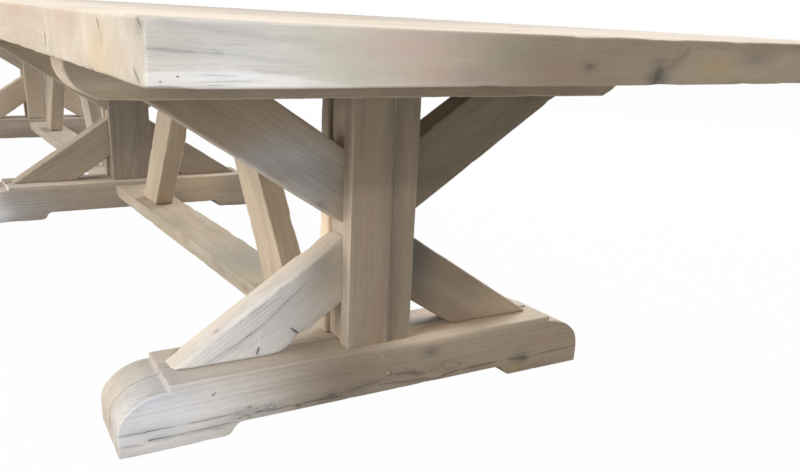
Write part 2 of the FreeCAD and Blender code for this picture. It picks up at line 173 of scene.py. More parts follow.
studio = {
    "worldColour": (1.0, 0.92, 0.82),
    "worldStrength": 0.21,
    "floorSize": 60,
    "floorColour": (0.42, 0.405, 0.385),
    "floorGlow": 0.985,
    # name, place, target, size, power, colour
    "softLamps": [
        ("overhead", (0.0, 0.0, 4.2), (0.0, 0.0, 0.0), (7.0, 3.5), 105, (1.0, 0.97, 0.93)),
        ("sideKey", (-0.5, 5.0, 2.4), (-0.5, 0.0, 0.5), (8.0, 3.0), 290, (1.0, 0.95, 0.88)),
        ("frontFill", (1.0, -5.0, 2.8), (-1.5, -0.3, 0.2), (5.0, 2.5), 340, (1.0, 0.96, 0.92)),
        ("farFill", (6.5, 0.0, 1.8), (2.0, 0.0, 0.4), (3.0, 2.5), 50, (1.0, 0.96, 0.92)),
    ],
    # name, place, target, cone in degrees, blend, radius, power, colour: daylight from a window falls
    # on the near end's left half only, and a lower lamp leaves the upper trestle in the top's shadow
    "spotLamps": [
        ("windowLamp", (-8.0, 1.04, 2.53), (-2.13, 2.41, 0.37), 40, 0.1, 0.16, 1080, (0.86, 0.92, 1.0)),
        ("doorLamp", (-8.0, 1.2, 2.8), (-1.9, -0.4, 0.3), 40, 0.6, 0.12, 150, (1.0, 0.94, 0.86)),
    ],
}


def visibleWhite(tree):
    # the light path's answer to whether a camera, glossy or transmission ray looks at it
    path = tree.nodes.new("ShaderNodeLightPath").outputs
    seen = calc(tree, "MAXIMUM", path["Is Camera Ray"], path["Is Glossy Ray"])
    return calc(tree, "MAXIMUM", seen, path["Is Transmission Ray"])


def mixSurface(tree, output, share, one, other):
    # a mix of two shaders as the surface
    mix = tree.nodes.new("ShaderNodeMixShader")
    for socket, value in zip(mix.inputs, (share, one.outputs[0], other.outputs[0])):
        feed(tree, socket, value)
    feed(tree, tree.nodes.new(output).inputs["Surface"], mix.outputs[0])


def makeWorld(plan):
    world = bpy.data.worlds.new("softRoom")
    scene.world = world
    world.use_nodes = True
    tree = world.node_tree
    tree.nodes.clear()
    room = tree.nodes.new("ShaderNodeBackground")
    feed(tree, room.inputs["Color"], plan["worldColour"])
    feed(tree, room.inputs["Strength"], plan["worldStrength"])
    white = tree.nodes.new("ShaderNodeBackground")
    feed(tree, white.inputs["Color"], (1, 1, 1))
    feed(tree, white.inputs["Strength"], 1)
    mixSurface(tree, "ShaderNodeOutputWorld", visibleWhite(tree), room, white)


def makeFloor(plan):
    half = plan["floorSize"] / 2
    mesh = bpy.data.meshes.new("floor")
    corners = [(-half, -half, 0), (half, -half, 0), (half, half, 0), (-half, half, 0)]
    mesh.from_pydata(corners, [], [(0, 1, 2, 3)])
    addToScene("floor", mesh)
    paint = bpy.data.materials.new("paleFloor")
    paint.use_nodes = True
    tree = paint.node_tree
    tree.nodes.clear()
    matt = tree.nodes.new("ShaderNodeBsdfDiffuse")
    feed(tree, matt.inputs["Color"], plan["floorColour"])
    glow = tree.nodes.new("ShaderNodeEmission")
    feed(tree, glow.inputs["Color"], (1, 1, 1))
    share = times(tree, visibleWhite(tree), plan["floorGlow"])
    mixSurface(tree, "ShaderNodeOutputMaterial", share, matt, glow)
    mesh.materials.append(paint)


def hangLamp(name, data, where, target):
    lamp = addToScene(name, data)
    lamp.location = where
    lamp.rotation_mode = "QUATERNION"
    lamp.rotation_quaternion = (Vector(target) - Vector(where)).to_track_quat("-Z", "Y")
    lamp.visible_camera = False


def makeLamps(plan):
    for name, where, target, size, power, colour in plan["softLamps"]:
        data = bpy.data.lights.new(name, "AREA")
        data.shape = "RECTANGLE"
        data.size, data.size_y = size
        data.energy = power
        data.color = colour
        hangLamp(name, data, where, target)
    for name, where, target, cone, edge, radius, power, colour in plan["spotLamps"]:
        data = bpy.data.lights.new(name, "SPOT")
        data.spot_size = math.radians(cone)
        data.spot_blend = edge
        data.shadow_soft_size = radius
        data.energy = power
        data.color = colour
        hangLamp(name, data, where, target)


makeWorld(studio)
makeFloor(studio)
makeLamps(studio)
scene.view_settings.view_transform = "Standard"
print("camera and studio made")

axisNumber = {"X": 0, "Y": 1, "Z": 2}


def sharpEdges(bm, least=0.5):
    # the outward edges that stand sharper than least, in radians
    return [edge for edge in bm.edges if edge.is_manifold and edge.is_convex
            and edge.calc_face_angle(0) > least]


def gridCuts(bm, cell):
    # cut the whole mesh along even planes, so that the faces can take wear
    low = Vector([min(v.co[i] for v in bm.verts) for i in range(3)])
    high = Vector([max(v.co[i] for v in bm.verts) for i in range(3)])
    for axis in range(3):
        span = high[axis] - low[axis]
        count = max(1, round(span / cell[axis]))
        normal = Vector((0, 0, 0))
        normal[axis] = 1
        for step in range(1, count):
            level = low.copy()
            level[axis] += span * step / count
            geometry = bm.verts[:] + bm.edges[:] + bm.faces[:]
            bmesh.ops.bisect_plane(bm, geom=geometry, dist=1e-6, plane_co=level, plane_no=normal)


def edgeDistance(points, segments):
    # how far each point is from the nearest of the timber's own edges
    nearest = np.full(len(points), 9.0)
    for start, finish in segments:
        along = finish - start
        length = np.dot(along, along)
        if length < 1e-12:
            continue
        share = np.clip((points - start) @ along / length, 0, 1)
        gap = np.linalg.norm(points - (start + share[:, None] * along), axis=1)
        nearest = np.minimum(nearest, gap)
    return nearest


def unevenness(points, stretch, size, seed, octaves=3):
    # seeded noise from -1 to 1 at each point, stretched by the given factors
    shift = Vector((seed * 7.31, seed * 3.17, seed * 5.71))
    fitted = points / np.array(stretch) / size
    return np.array([noise.fractal(Vector(p) + shift, 0.9, 2.0, octaves) for p in fitted])


def near(points, middle, reach):
    # 1 at the middle and fading to 0 beyond the reach along X, Y and Z
    gap = np.linalg.norm((points - np.array(middle)) / np.array(reach), axis=1)
    return np.exp(-gap ** 2)


def setField(mesh, name, values):
    kind, key = ("FLOAT_VECTOR", "vector") if values.ndim > 1 else ("FLOAT", "value")
    mesh.attributes.new(name, kind, "POINT").data.foreach_set(key, values.ravel())


def getField(mesh, key):
    values = np.empty(len(mesh.vertices) * 3)
    mesh.vertices.foreach_get(key, values)
    return values.reshape(-1, 3)


def closeSkin(bm, rings):
    # faces from ring to ring, with both ends closed
    bm.faces.new(rings[0])
    bm.faces.new(rings[-1])
    for one, other in zip(rings, rings[1:]):
        for i in range(len(one)):
            after = (i + 1) % len(one)
            bm.faces.new((one[i], one[after], other[after], other[i]))
    bmesh.ops.recalc_face_normals(bm, faces=bm.faces[:])


def meshFrom(bm, name):
    mesh = bpy.data.meshes.new(name)
    bm.to_mesh(mesh)
    bm.free()
    return mesh


def cutTimber(name, outline, plane, low, high, look):
    # the sawn timber with eased edges and a grid of cuts, and its own edges as segments
    first, second = [axisNumber[letter] for letter in plane]
    third = 3 - first - second
    bm = bmesh.new()
    rings = []
    for level in (low, high):
        ring = []
        for a, b in outline:
            corner = [0, 0, 0]
            corner[first], corner[second], corner[third] = a, b, level
            ring.append(bm.verts.new(corner))
        rings.append(ring)
    closeSkin(bm, rings)
    sharp = sharpEdges(bm)
    segments = [[np.array(end.co) for end in edge.verts] for edge in sharp]
    bmesh.ops.bevel(bm, geom=sharp, offset=look["wear"], offset_type="OFFSET", segments=3,
                    profile=0.5, affect="EDGES", clamp_overlap=True)
    gridCuts(bm, look["cell"])
    bmesh.ops.recalc_face_normals(bm, faces=bm.faces[:])
    bm.normal_update()
    return meshFrom(bm, name), segments


# size in metres, stretch along the timber and bias of the noise for planed hollows and for chips,
# how near an edge the chips stay, and what share of the worn edge and of the way to it may be lost
wearPlan = {"hollowSize": 0.09, "hollowStretch": 5, "hollowBias": 0.15,
            "chipSize": 0.03, "chipStretch": 2.5, "chipBias": -0.12, "chipSeed": 40,
            "chipReach": 0.007, "deepest": 0.5}


def wearTimber(points, normals, edge, main, look):
    # planed hollows, worn edges and single chips, always into the timber
    stretch = [1, 1, 1]
    stretch[main] = wearPlan["hollowStretch"]
    soft = unevenness(points, stretch, wearPlan["hollowSize"], look["seed"]) + wearPlan["hollowBias"]
    stretch[main] = wearPlan["chipStretch"]
    chip = unevenness(points, stretch, wearPlan["chipSize"], look["seed"] + wearPlan["chipSeed"])
    chip = np.clip(chip + wearPlan["chipBias"], 0, 1) * look["chip"]
    sink = np.clip(soft, 0, 2) * look["dent"] + chip * np.exp(-(edge / wearPlan["chipReach"]) ** 2)
    for middle, reach, depth in look.get("hollows", []):
        sink += near(points, middle, reach) * depth
    # nothing goes deeper than the worn edge beside it, so that no face folds over
    sink = np.minimum(sink, (look["wear"] + edge) * wearPlan["deepest"])
    return points - normals * sink[:, None]


timberPieces = []

# how boards differ by chance: their pith's place beside and behind them and their place along the
# grain in metres, then their tone, their warmth and the strength of their grain
chanceSpans = {"aside": (-0.12, 0.12), "behind": (0.05, 0.16), "along": (5, 90),
               "tone": (-0.07, 0.05), "warmth": (-0.25, 0.3), "grain": (0.3, 0.6)}

# In the looks, a patch is a middle, a reach, and its change of tone, warmth and grain. A hollow is a
# middle, a reach and a depth.
commonLook = {"dent": 0.0009, "chip": 0.006, "tone": None, "finish": "trestleTimber"}


def makeTimber(node, outline, plane, low, high, look, ownLooks):
    # outline is in the plane's two axes, and low to high is the span across it
    seed = len(timberPieces) + 1
    look = {**commonLook, "seed": seed, **look, **ownLooks.get(node, {})}
    mesh, segments = cutTimber(node + "_worn", outline, plane, low, high, look)
    points, normals = getField(mesh, "co"), getField(mesh, "normal")
    edge = edgeDistance(points, segments)

    # the grain's own frame: along the timber, then across it twice
    along = Vector(look["grain"]).normalized()
    flat = Vector((0, 0, 0))
    flat[3 - axisNumber[plane[0]] - axisNumber[plane[1]]] = 1
    axes = np.array([along, flat.cross(along).normalized(), flat])
    centre = (points.min(0) + points.max(0)) / 2
    chance = random.Random(seed)
    spans = chanceSpans
    pith = (chance.uniform(*spans["aside"]), chance.choice((-1, 1)) * chance.uniform(*spans["behind"]))
    pith = look.get("pith", pith)
    shift = np.array([chance.uniform(*spans["along"]), -pith[0], -pith[1]])
    setField(mesh, "grainPlace", (points - centre) @ axes.T + shift)
    setField(mesh, "edgeGap", edge)

    # tone: lighter or darker, warmer or cooler, and how strong the grain is
    tone = [chance.uniform(*spans[key]) for key in ("tone", "warmth", "grain")]
    shade = np.tile(look["tone"] or tone, (len(points), 1))
    for middle, reach, change in look.get("patches", []):
        shade += near(points, middle, reach)[:, None] * np.array(change)
    setField(mesh, "boardTone", shade)

    main = max(range(3), key=lambda i: abs(along[i]))
    points = wearTimber(points, normals, edge, main, look)
    if "bend" in look:
        points = look["bend"](points)
    mesh.vertices.foreach_set("co", points.ravel())
    mesh.polygons.foreach_set("use_smooth", [True] * len(mesh.polygons))
    mesh.update()

    piece = addToScene(node + "_worn", mesh)
    even = piece.modifiers.new("evenNormals", "WEIGHTED_NORMAL")
    even.weight = 60
    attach(piece, "root")
    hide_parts(node)
    timberPieces.append((piece, look["finish"]))


def arcBetween(start, finish, radius, turn, steps):
    # points along the shorter arc, without its last one: turn is 1 anticlockwise
    sx, sy = start
    fx, fy = finish
    chord = math.hypot(fx - sx, fy - sy)
    reach = math.sqrt(max(radius ** 2 - chord ** 2 / 4, 0))
    cx = (sx + fx) / 2 - (fy - sy) / chord * reach * turn
    cy = (sy + fy) / 2 + (fx - sx) / chord * reach * turn
    first = math.atan2(sy - cy, sx - cx)
    last = math.atan2(fy - cy, fx - cx)
    swing = (last - first + math.pi) % (2 * math.pi) - math.pi
    return [(cx + radius * math.cos(first + swing * i / steps),
             cy + radius * math.sin(first + swing * i / steps)) for i in range(steps)]


def rectangle(a0, a1, b0, b1):
    return [(a0, b0), (a1, b0), (a1, b1), (a0, b1)]


# the table's shared places
trestleX = {"left": -1.89, "middle": 0.0, "right": 1.89}
faceNames = {
    "left": {-1: "outer", 1: "inner"},
    "middle": {-1: "left", 1: "right"},
    "right": {-1: "inner", 1: "outer"},
}
longBearerFace = {"left": -1, "middle": -1, "right": 1}
topUnder, topUpper = 0.7, 0.76
bearerUnder, footTop = 0.624, 0.127
plankThick = 0.088


def plankSpan(x, face):
    # the span along X of one of a trestle's two planks
    return (x - plankThick, x) if face < 0 else (x, x + plankThick)


footPlan = {
    "length": 1.09, "pad": 0.2, "arch": 0.025, "cove": 0.038,
    "step": 0.096, "drop": 0.012, "nose": 0.108, "toe": 0.052, "toeHeight": 0.045,
}
footLook = {"wear": 0.0045, "cell": (0.011, 0.011, 0.011), "chip": 0.008, "grain": (0, 1, 0),
            "slot": "trestle_wood"}
footX = trestleX["left"] - plankThick

# where the near foot's back end starts to run in, over what length and how much
nearFootEnd = {"start": 0.36, "length": 0.08, "run": 0.072}


def nearFootBend(points):
    # the near foot's back end isn't sawn square: it runs in towards the inner side
    ramp = np.clip((points[:, 1] - nearFootEnd["start"]) / nearFootEnd["length"], 0, 1)
    points[:, 1] -= ramp * (points[:, 0] - footX) * nearFootEnd["run"]
    return points


footLooks = {
    "left_foot_outer_plank": {
        "finish": "nearFootTimber", "tone": (0.02, -0.05, 0.25), "cell": (0.011, 0.008, 0.008),
        "bend": nearFootBend, "chip": 0.0035,
        # the front is paler and cooler towards the near end and darker near the middle: partly the wood's own
        # bleaching, partly painted window light and the shade beyond it
        "patches": [((footX, 0.5, 0.06), (0.12, 0.16, 0.09), (0.15, -0.75, 0.1)),
                    ((footX, 0.3, 0.07), (0.12, 0.12, 0.09), (0.08, -0.25, 0.1)),
                    ((footX, 0.25, 0.043), (0.12, 0.035, 0.02), (0.16, -0.3, 0.0)),
                    ((footX, 0.13, 0.07), (0.12, 0.11, 0.09), (-0.22, 0.15, 0.1)),
                    ((-1.89, 0.47, 0.11), (0.2, 0.06, 0.03), (0.03, -0.4, 0.0)),
                    ((footX, -0.35, 0.05), (0.12, 0.2, 0.09), (0.14, 0.35, 0.0)),
                    # painted light: the top behind the post is lighter, as if lit from the front
                    ((-1.93, -0.35, 0.13), (0.12, 0.26, 0.012), (0.4, -0.15, 0.0)),
                    # a painted highlight on the top between the post and the brace
                    ((-1.955, -0.12, 0.127), (0.035, 0.11, 0.012), (1.4, 0.0, 0.0))],
        "hollows": [((footX, 0.3, 0.046), (0.03, 0.045, 0.01), 0.0012),
                    ((footX, -0.38, 0.052), (0.03, 0.02, 0.008), 0.0015)],
    },
    "left_foot_inner_plank": {
        "finish": "nearFootTimber", "tone": (0.06, -0.15, 0.25), "bend": nearFootBend, "chip": 0.0035,
        # painted light on the top behind the post
        "patches": [((-1.85, -0.35, 0.13), (0.12, 0.26, 0.012), (0.45, -0.15, 0.0)),
                    # the brace's painted shadow on the top
                    ((-1.88, -0.16, 0.127), (0.03, 0.09, 0.01), (-0.5, -0.5, 0.0)),
                    ((-1.89, 0.47, 0.11), (0.2, 0.06, 0.03), (0.03, -0.4, 0.0))],
    },
    "middle_foot_left_plank": {
        "tone": (0.1, -0.2, 0.5),
        "patches": [((-0.088, -0.26, 0.08), (0.2, 0.1, 0.15), (0.34, 0.8, 0.0)),
                    ((-0.088, 0.45, 0.04), (0.2, 0.15, 0.08), (0.26, -0.9, 0.2)),
                    ((-0.05, 0.27, 0.127), (0.1, 0.25, 0.012), (0.6, 0.0, 0.0))],
    },
    "right_foot_inner_plank": {"tone": (-0.16, -0.2, 0.4)},
}


def footOutline(plan):
    end = plan["length"] / 2
    ledge = footTop - plan["drop"]
    noseZ = ledge - plan["nose"]
    toeY = end - plan["toe"]
    gap = plan["nose"] - plan["toe"]
    noseY = toeY - math.sqrt(gap ** 2 - (plan["toeHeight"] - noseZ) ** 2)
    meet = (toeY + plan["toe"] * (toeY - noseY) / gap,
            plan["toeHeight"] + plan["toe"] * (plan["toeHeight"] - noseZ) / gap)
    inner = end - plan["pad"]
    arch, cove = plan["arch"], plan["cove"]
    radius = (cove ** 2 + arch ** 2) / (4 * arch)
    half = [(0.0, arch)]
    half += arcBetween((inner - cove, arch), (inner - cove / 2, arch / 2), radius, -1, 4)
    half += arcBetween((inner - cove / 2, arch / 2), (inner, 0), radius, 1, 4)
    half += [(inner, 0), (end, 0)]
    half += arcBetween((end, plan["toeHeight"]), meet, plan["toe"], 1, 6)
    half += arcBetween(meet, (noseY, ledge), plan["nose"], 1, 8)
    half += [(noseY, ledge), (end - plan["step"], ledge), (end - plan["step"], footTop)]
    return half + [(-a, b) for a, b in reversed(half[1:])]


for trestle, x in trestleX.items():
    for face in (-1, 1):
        node = "%s_foot_%s_plank" % (trestle, faceNames[trestle][face])
        makeTimber(node, footOutline(footPlan), "YZ", *plankSpan(x, face), footLook, footLooks)
print("feet made")

bearerPlan = {"reachLong": 0.581, "reachShort": 0.555, "nose": 0.053, "rise": 0.058, "slope": 26}
bearerLook = {"wear": 0.004, "cell": (0.014, 0.016, 0.014), "chip": 0.005, "grain": (0, 1, 0),
              "slot": "trestle_wood"}
bearerLooks = {
    "left_bearer_outer_plank": {
        "finish": "nearBearerTimber", "tone": (-0.04, 0.1, 0.3),
        # painted light: the lower front of the plank is lighter below the top's shadow
        "patches": [((footX, 0.53, 0.645), (0.12, 0.06, 0.025), (0.3, 0.0, -0.1)),
                    ((footX, 0.48, 0.632), (0.12, 0.06, 0.018), (0.22, 0.0, -0.1))],
    },
}


def bearerOutline(plan, reach):
    slope = math.radians(plan["slope"])
    inset = plan["nose"] * (1 - math.sin(slope))
    up = plan["rise"] - plan["nose"] * math.cos(slope)
    footing = inset + up / math.tan(slope)
    half = [(reach - footing, bearerUnder)]
    half += arcBetween((reach - inset, bearerUnder + up), (reach, bearerUnder + plan["rise"]),
                       plan["nose"], 1, 6)
    half += [(reach, bearerUnder + plan["rise"]), (reach, topUnder)]
    return half + [(-a, b) for a, b in reversed(half)]


for trestle, x in trestleX.items():
    for face in (-1, 1):
        node = "%s_bearer_%s_plank" % (trestle, faceNames[trestle][face])
        reach = bearerPlan["reachLong" if face == longBearerFace[trestle] else "reachShort"]
        points = bearerOutline(bearerPlan, reach)
        makeTimber(node, points, "YZ", *plankSpan(x, face), bearerLook, bearerLooks)
print("bearers made")

postPlan = {"core": 0.066, "coreWidth": 0.132, "facing": 0.034, "width": 0.148, "seam": 0.02}
postLook = {"wear": 0.005, "cell": (0.012, 0.012, 0.014), "chip": 0.006, "grain": (0, 0, 1),
            "slot": "trestle_wood"}
postX = trestleX["left"] - postPlan["core"] / 2 - postPlan["facing"]
middlePostPatch = [((-0.067, 0.0, 0.17), (0.1, 0.2, 0.09), (0.17, 0.0, 0.0))]
postLooks = {
    "left_post_outer_wide_facing": {
        "finish": "nearPostTimber", "tone": (0.02, 0.1, 0.25), "wear": 0.0014, "chip": 0.001,
        # painted shadow of the top over the upper post
        "patches": [((postX, 0.0, 0.62), (0.1, 0.2, 0.13), (-0.1, 0.0, 0.0)),
                    # painted shade on the side face, in two bands
                    ((-1.935, 0.074, 0.51), (0.016, 0.02, 0.09), (-0.46, 0.0, 0.0)),
                    ((-1.935, 0.074, 0.28), (0.016, 0.02, 0.05), (-0.28, 0.0, 0.0))],
    },
    "left_post_outer_narrow_facing": {
        "finish": "nearPostTimber", "tone": (-0.14, 0.15, 0.25), "wear": 0.0014, "chip": 0.001,
        # painted shadow of the top over the upper post
        "patches": [((postX, 0.0, 0.62), (0.1, 0.2, 0.13), (-0.2, 0.0, 0.0))],
    },
    "left_post_inner_narrow_facing": {
        "tone": (0.0, 0.15, 0.2),
        # painted side light low down, and painted shade of the top higher up
        "patches": [((-1.86, 0.07, 0.36), (0.2, 0.1, 0.1), (0.8, 0.2, 0.0)),
                    ((-1.86, 0.07, 0.6), (0.2, 0.1, 0.1), (-0.35, 0.0, 0.0))],
    },
    "middle_post_left_wide_facing": {
        "tone": (-0.42, -0.15, 0.6), "wear": 0.002, "chip": 0.001, "patches": middlePostPatch,
    },
    "middle_post_left_narrow_facing": {
        "tone": (-0.46, -0.1, 0.5), "wear": 0.002, "chip": 0.001, "patches": middlePostPatch,
    },
}

for trestle, x in trestleX.items():
    half = postPlan["coreWidth"] / 2
    inner = postPlan["core"] / 2
    outer = inner + postPlan["facing"]
    makeTimber(trestle + "_post_core", rectangle(-half, half, footTop, bearerUnder), "YZ",
               x - inner, x + inner, postLook, {})
    for face in (-1, 1):
        spans = (x - outer, x - inner) if face < 0 else (x + inner, x + outer)
        side = postPlan["width"] / 2
        for kind in ("wide", "narrow"):
            node = "%s_post_%s_%s_facing" % (trestle, faceNames[trestle][face], kind)
            ends = (-postPlan["seam"], side) if kind == "wide" else (-side, -postPlan["seam"])
            if face > 0:
                ends = (-ends[1], -ends[0])
            points = rectangle(*ends, footTop, bearerUnder)
            makeTimber(node, points, "YZ", *spans, postLook, postLooks)
print("posts made")

bracePlan = {
    "gap": 0.031, "lowerWidth": 0.116, "upperWidth": 0.123,
    "lowerReach": 0.425, "upperReach": 0.453, "thick": 0.066,
}
braceX = trestleX["left"] - bracePlan["thick"] / 2
braceLook = {"wear": 0.004, "cell": (0.012, 0.012, 0.012), "slot": "trestle_wood"}
braceLooks = {
    "left_lower_back_brace": {
        "finish": "nearBraceTimber", "tone": (0.05, -0.4, 0.6), "cell": (0.011, 0.008, 0.008),
        "chip": 0.009, "pith": (0.06, 0.05), "wear": 0.006,
        "patches": [((braceX, 0.22, 0.22), (0.05, 0.12, 0.1), (0.11, -0.4, 0.1)),
                    ((braceX, 0.09, 0.28), (0.05, 0.05, 0.1), (-0.1, 0.45, -0.2)),
                    # the upper face is warmer and smoother
                    ((-1.835, 0.24, 0.25), (0.06, 0.6, 0.6), (0.03, 0.9, -1.3))],
        "hollows": [((braceX, 0.16, 0.157), (0.02, 0.012, 0.01), 0.006)],
    },
    "left_upper_back_brace": {
        "finish": "nearUpperTimber", "tone": (-0.08, 0.1, 0.35), "chip": 0.008,
        # painted cool window light on the lower end
        "patches": [((braceX, 0.135, 0.465), (0.05, 0.06, 0.07), (0.2, -0.95, 0.1)),
                    ((braceX, 0.22, 0.515), (0.05, 0.09, 0.042), (0.62, -1.2, 0.1))],
        "hollows": [((braceX, 0.115, 0.414), (0.02, 0.012, 0.008), 0.006)],
    },
    # toned darker as painted shade under the top
    "left_upper_front_brace": {"tone": (-0.4, 0.0, 0.3)},
    "left_lower_front_brace": {
        "tone": (-0.24, 0.2, 0.35), "chip": 0.002, "wear": 0.006,
        # the post's painted shadow near the post, and painted light further out
        "patches": [((braceX, -0.1, 0.3), (0.05, 0.05, 0.1), (-0.4, -0.5, 0.0)),
                    ((braceX, -0.36, 0.15), (0.05, 0.1, 0.1), (0.52, 0.1, 0.0))],
    },
    "middle_lower_back_brace": {"tone": (-0.1, 0.0, 0.4)},
    "middle_lower_front_brace": {"tone": (-0.26, 0.0, 0.4)},
}


def braceOutline(plan, level, side):
    run = plan["lowerReach"] + plan["upperReach"] - postPlan["width"]
    slope = (bearerUnder - footTop - plan["gap"]) / run
    stretch = math.sqrt(1 + slope ** 2)
    half = postPlan["coreWidth"] / 2
    if level == "lower":
        top = footTop + (plan["lowerReach"] - half) * slope
        under = top - plan["lowerWidth"] * stretch
        heel = plan["lowerReach"] - plan["lowerWidth"] * stretch / slope
        points = [(half, under), (heel, footTop), (plan["lowerReach"], footTop), (half, top)]
        grain = (0, side, -slope)
    else:
        under = bearerUnder - (plan["upperReach"] - half) * slope
        top = under + plan["upperWidth"] * stretch
        heel = plan["upperReach"] - plan["upperWidth"] * stretch / slope
        points = [(half, under), (plan["upperReach"], bearerUnder), (heel, bearerUnder), (half, top)]
        grain = (0, side, slope)
    return [(a * side, b) for a, b in points], grain


for trestle, x in trestleX.items():
    half = bracePlan["thick"] / 2
    for level in ("lower", "upper"):
        for side, word in ((-1, "front"), (1, "back")):
            node = "%s_%s_%s_brace" % (trestle, level, word)
            points, grain = braceOutline(bracePlan, level, side)
            look = dict(braceLook, grain=grain)
            makeTimber(node, points, "YZ", x - half, x + half, look, braceLooks)
print("braces made")

railPlan = {"half": 0.857, "width": 0.148, "under": 0.07, "upper": 0.111}
railLook = {"wear": 0.004, "cell": (0.018, 0.014, 0.014), "grain": (1, 0, 0), "slot": "rail_wood",
            "finish": "railTimber"}
strutPlan = {"thick": 0.062, "depth": 0.152, "footX": 0.56, "headX": 0.136}
strutLook = {"wear": 0.004, "cell": (0.014, 0.014, 0.014), "slot": "rail_wood", "finish": "strutTimber"}
railLooks = {
    "left_stretcher": {
        "finish": "nearRailTimber", "tone": (-0.02, -0.05, 0.4),
        "patches": [((-1.2, 0.0, 0.111), (0.16, 0.1, 0.03), (-0.14, -0.3, 0.0))],
    },
}
strutLooks = {
    "left_outer_strut": {"tone": (0.1, 0.35, 0.4)},
    "left_inner_strut": {"tone": (0.0, 0.35, 0.4)},
}
bayX = {"left": -0.945, "right": 0.945}
for bay, x in bayX.items():
    node = bay + "_stretcher"
    points = rectangle(x - railPlan["half"], x + railPlan["half"], railPlan["under"], railPlan["upper"])
    side = railPlan["width"] / 2
    makeTimber(node, points, "XZ", -side, side, railLook, railLooks)
    for end in (-1, 1):
        node = "%s_%s_strut" % (bay, "outer" if (bay == "left") == (end < 0) else "inner")
        half = strutPlan["depth"] / 2
        lean = (end * (strutPlan["headX"] - strutPlan["footX"]), 0, topUnder - railPlan["upper"])
        points = [(strutPlan["footX"] + half, railPlan["upper"]),
                  (strutPlan["footX"] - half, railPlan["upper"]),
                  (strutPlan["headX"] - half, topUnder), (strutPlan["headX"] + half, topUnder)]
        points = [(x + a * end, b) for a, b in points]
        side = strutPlan["thick"] / 2
        look = dict(strutLook, grain=lean)
        makeTimber(node, points, "XZ", -side, side, look, strutLooks)
print("stretchers and struts made")

topPlan = {"halfLength": 2.604, "halfWidth": 0.63, "board": 0.46, "planks": 5}
plankEnd = topPlan["halfLength"] - topPlan["board"]
endX, sideY = -topPlan["halfLength"], topPlan["halfWidth"]
plankLook = {"wear": 0.0025, "cell": (0.025, 0.018, 0.02), "chip": 0.004, "grain": (1, 0, 0),
             "slot": "top_wood", "finish": "topTimber",
             # the back edge of the top is warmer and plainer
             "patches": [((-1.9, sideY, 0.73), (0.5, 0.03, 0.1), (0.0, 0.45, -0.3))]}
boardLook = {"wear": 0.0035, "cell": (0.014, 0.014, 0.012), "chip": 0.007, "grain": (0, 1, 0),
             "slot": "top_wood", "finish": "topTimber"}
nearBoardWear = {"sag": 0.003, "planed": 0.007, "planedFrom": 0.45, "planedOver": 1.0}


def nearBoardBend(points):
    # the near board's end has sagged a little on top and is planed thinner below towards the front
    ends = np.clip((-plankEnd - points[:, 0]) / topPlan["board"], 0, 1)
    height = np.clip((points[:, 2] - topUnder) / (topUpper - topUnder), 0, 1)
    sag = nearBoardWear["sag"] * np.cos(points[:, 1] / topPlan["halfWidth"] * math.pi / 2)
    share = (nearBoardWear["planedFrom"] - points[:, 1]) / nearBoardWear["planedOver"]
    lift = nearBoardWear["planed"] * np.clip(share, 0, 1)
    points[:, 2] += ends * ((1 - height) * lift - height * sag)
    return points


boardLooks = {
    "left_breadboard": {
        "finish": "nearBoardTimber", "tone": (0.0, 0.0, 0.3), "bend": nearBoardBend, "chip": 0.006,
        "cell": (0.014, 0.012, 0.008), "grain": (0, 1, 0.08),
        "patches": [((-2.4, sideY, 0.73), (0.5, 0.03, 0.1), (0.0, 0.1, -0.5)),
                    # cooler at the near corner: partly the board's own grey, partly painted cool window light
                    ((-2.62, 0.58, 0.74), (0.1, 0.18, 0.1), (0.0, -0.4, 0.2)),
                    ((endX, 0.62, 0.752), (0.05, 0.03, 0.016), (-0.14, 0.0, 0.0)),
                    ((endX, 0.29, 0.712), (0.05, 0.05, 0.01), (-0.16, 0.0, 0.0)),
                    ((endX, 0.54, 0.734), (0.1, 0.05, 0.03), (0.1, -0.1, 0.0)),
                    # painted shade: the end darker and warmer towards the front, and the top darker towards
                    # the front
                    ((endX, 0.1, 0.73), (0.1, 0.13, 0.1), (-0.15, 0.45, 0.0)),
                    ((endX, -0.42, 0.73), (0.1, 0.35, 0.1), (-0.14, 0.7, 0.1)),
                    ((-2.37, -0.4, 0.762), (0.5, 0.5, 0.012), (-0.36, 0.4, 0.0))],
    },
    "right_breadboard": {"tone": (-0.28, 0.0, 0.4)},
}
plankWidth = 2 * topPlan["halfWidth"] / topPlan["planks"]
for index in range(topPlan["planks"]):
    front = -topPlan["halfWidth"] + index * plankWidth
    # the front planks are painted darker than the back ones, as shade that deepens towards the front
    look = dict(plankLook, tone=(-0.45 + 0.08 * index, -0.1, 0.3))
    points = rectangle(-plankEnd, plankEnd, front, front + plankWidth)
    makeTimber("top_plank_%d" % (index + 1), points, "XY", topUnder, topUpper, look, {})
for end, word in ((-1, "left"), (1, "right")):
    node = word + "_breadboard"
    span = sorted((end * plankEnd, end * topPlan["halfLength"]))
    points = rectangle(*span, -topPlan["halfWidth"], topPlan["halfWidth"])
    makeTimber(node, points, "XY", topUnder, topUpper, boardLook, boardLooks)
print("top made")

pegPlan = {
    "radius": 0.0058, "places": [(0.003, 0.108), (-0.013, 0.066)], "proud": 0.001, "sides": 20,
    "rim": 0.0012, "waist": 0.03, "rough": 0.0003,
}


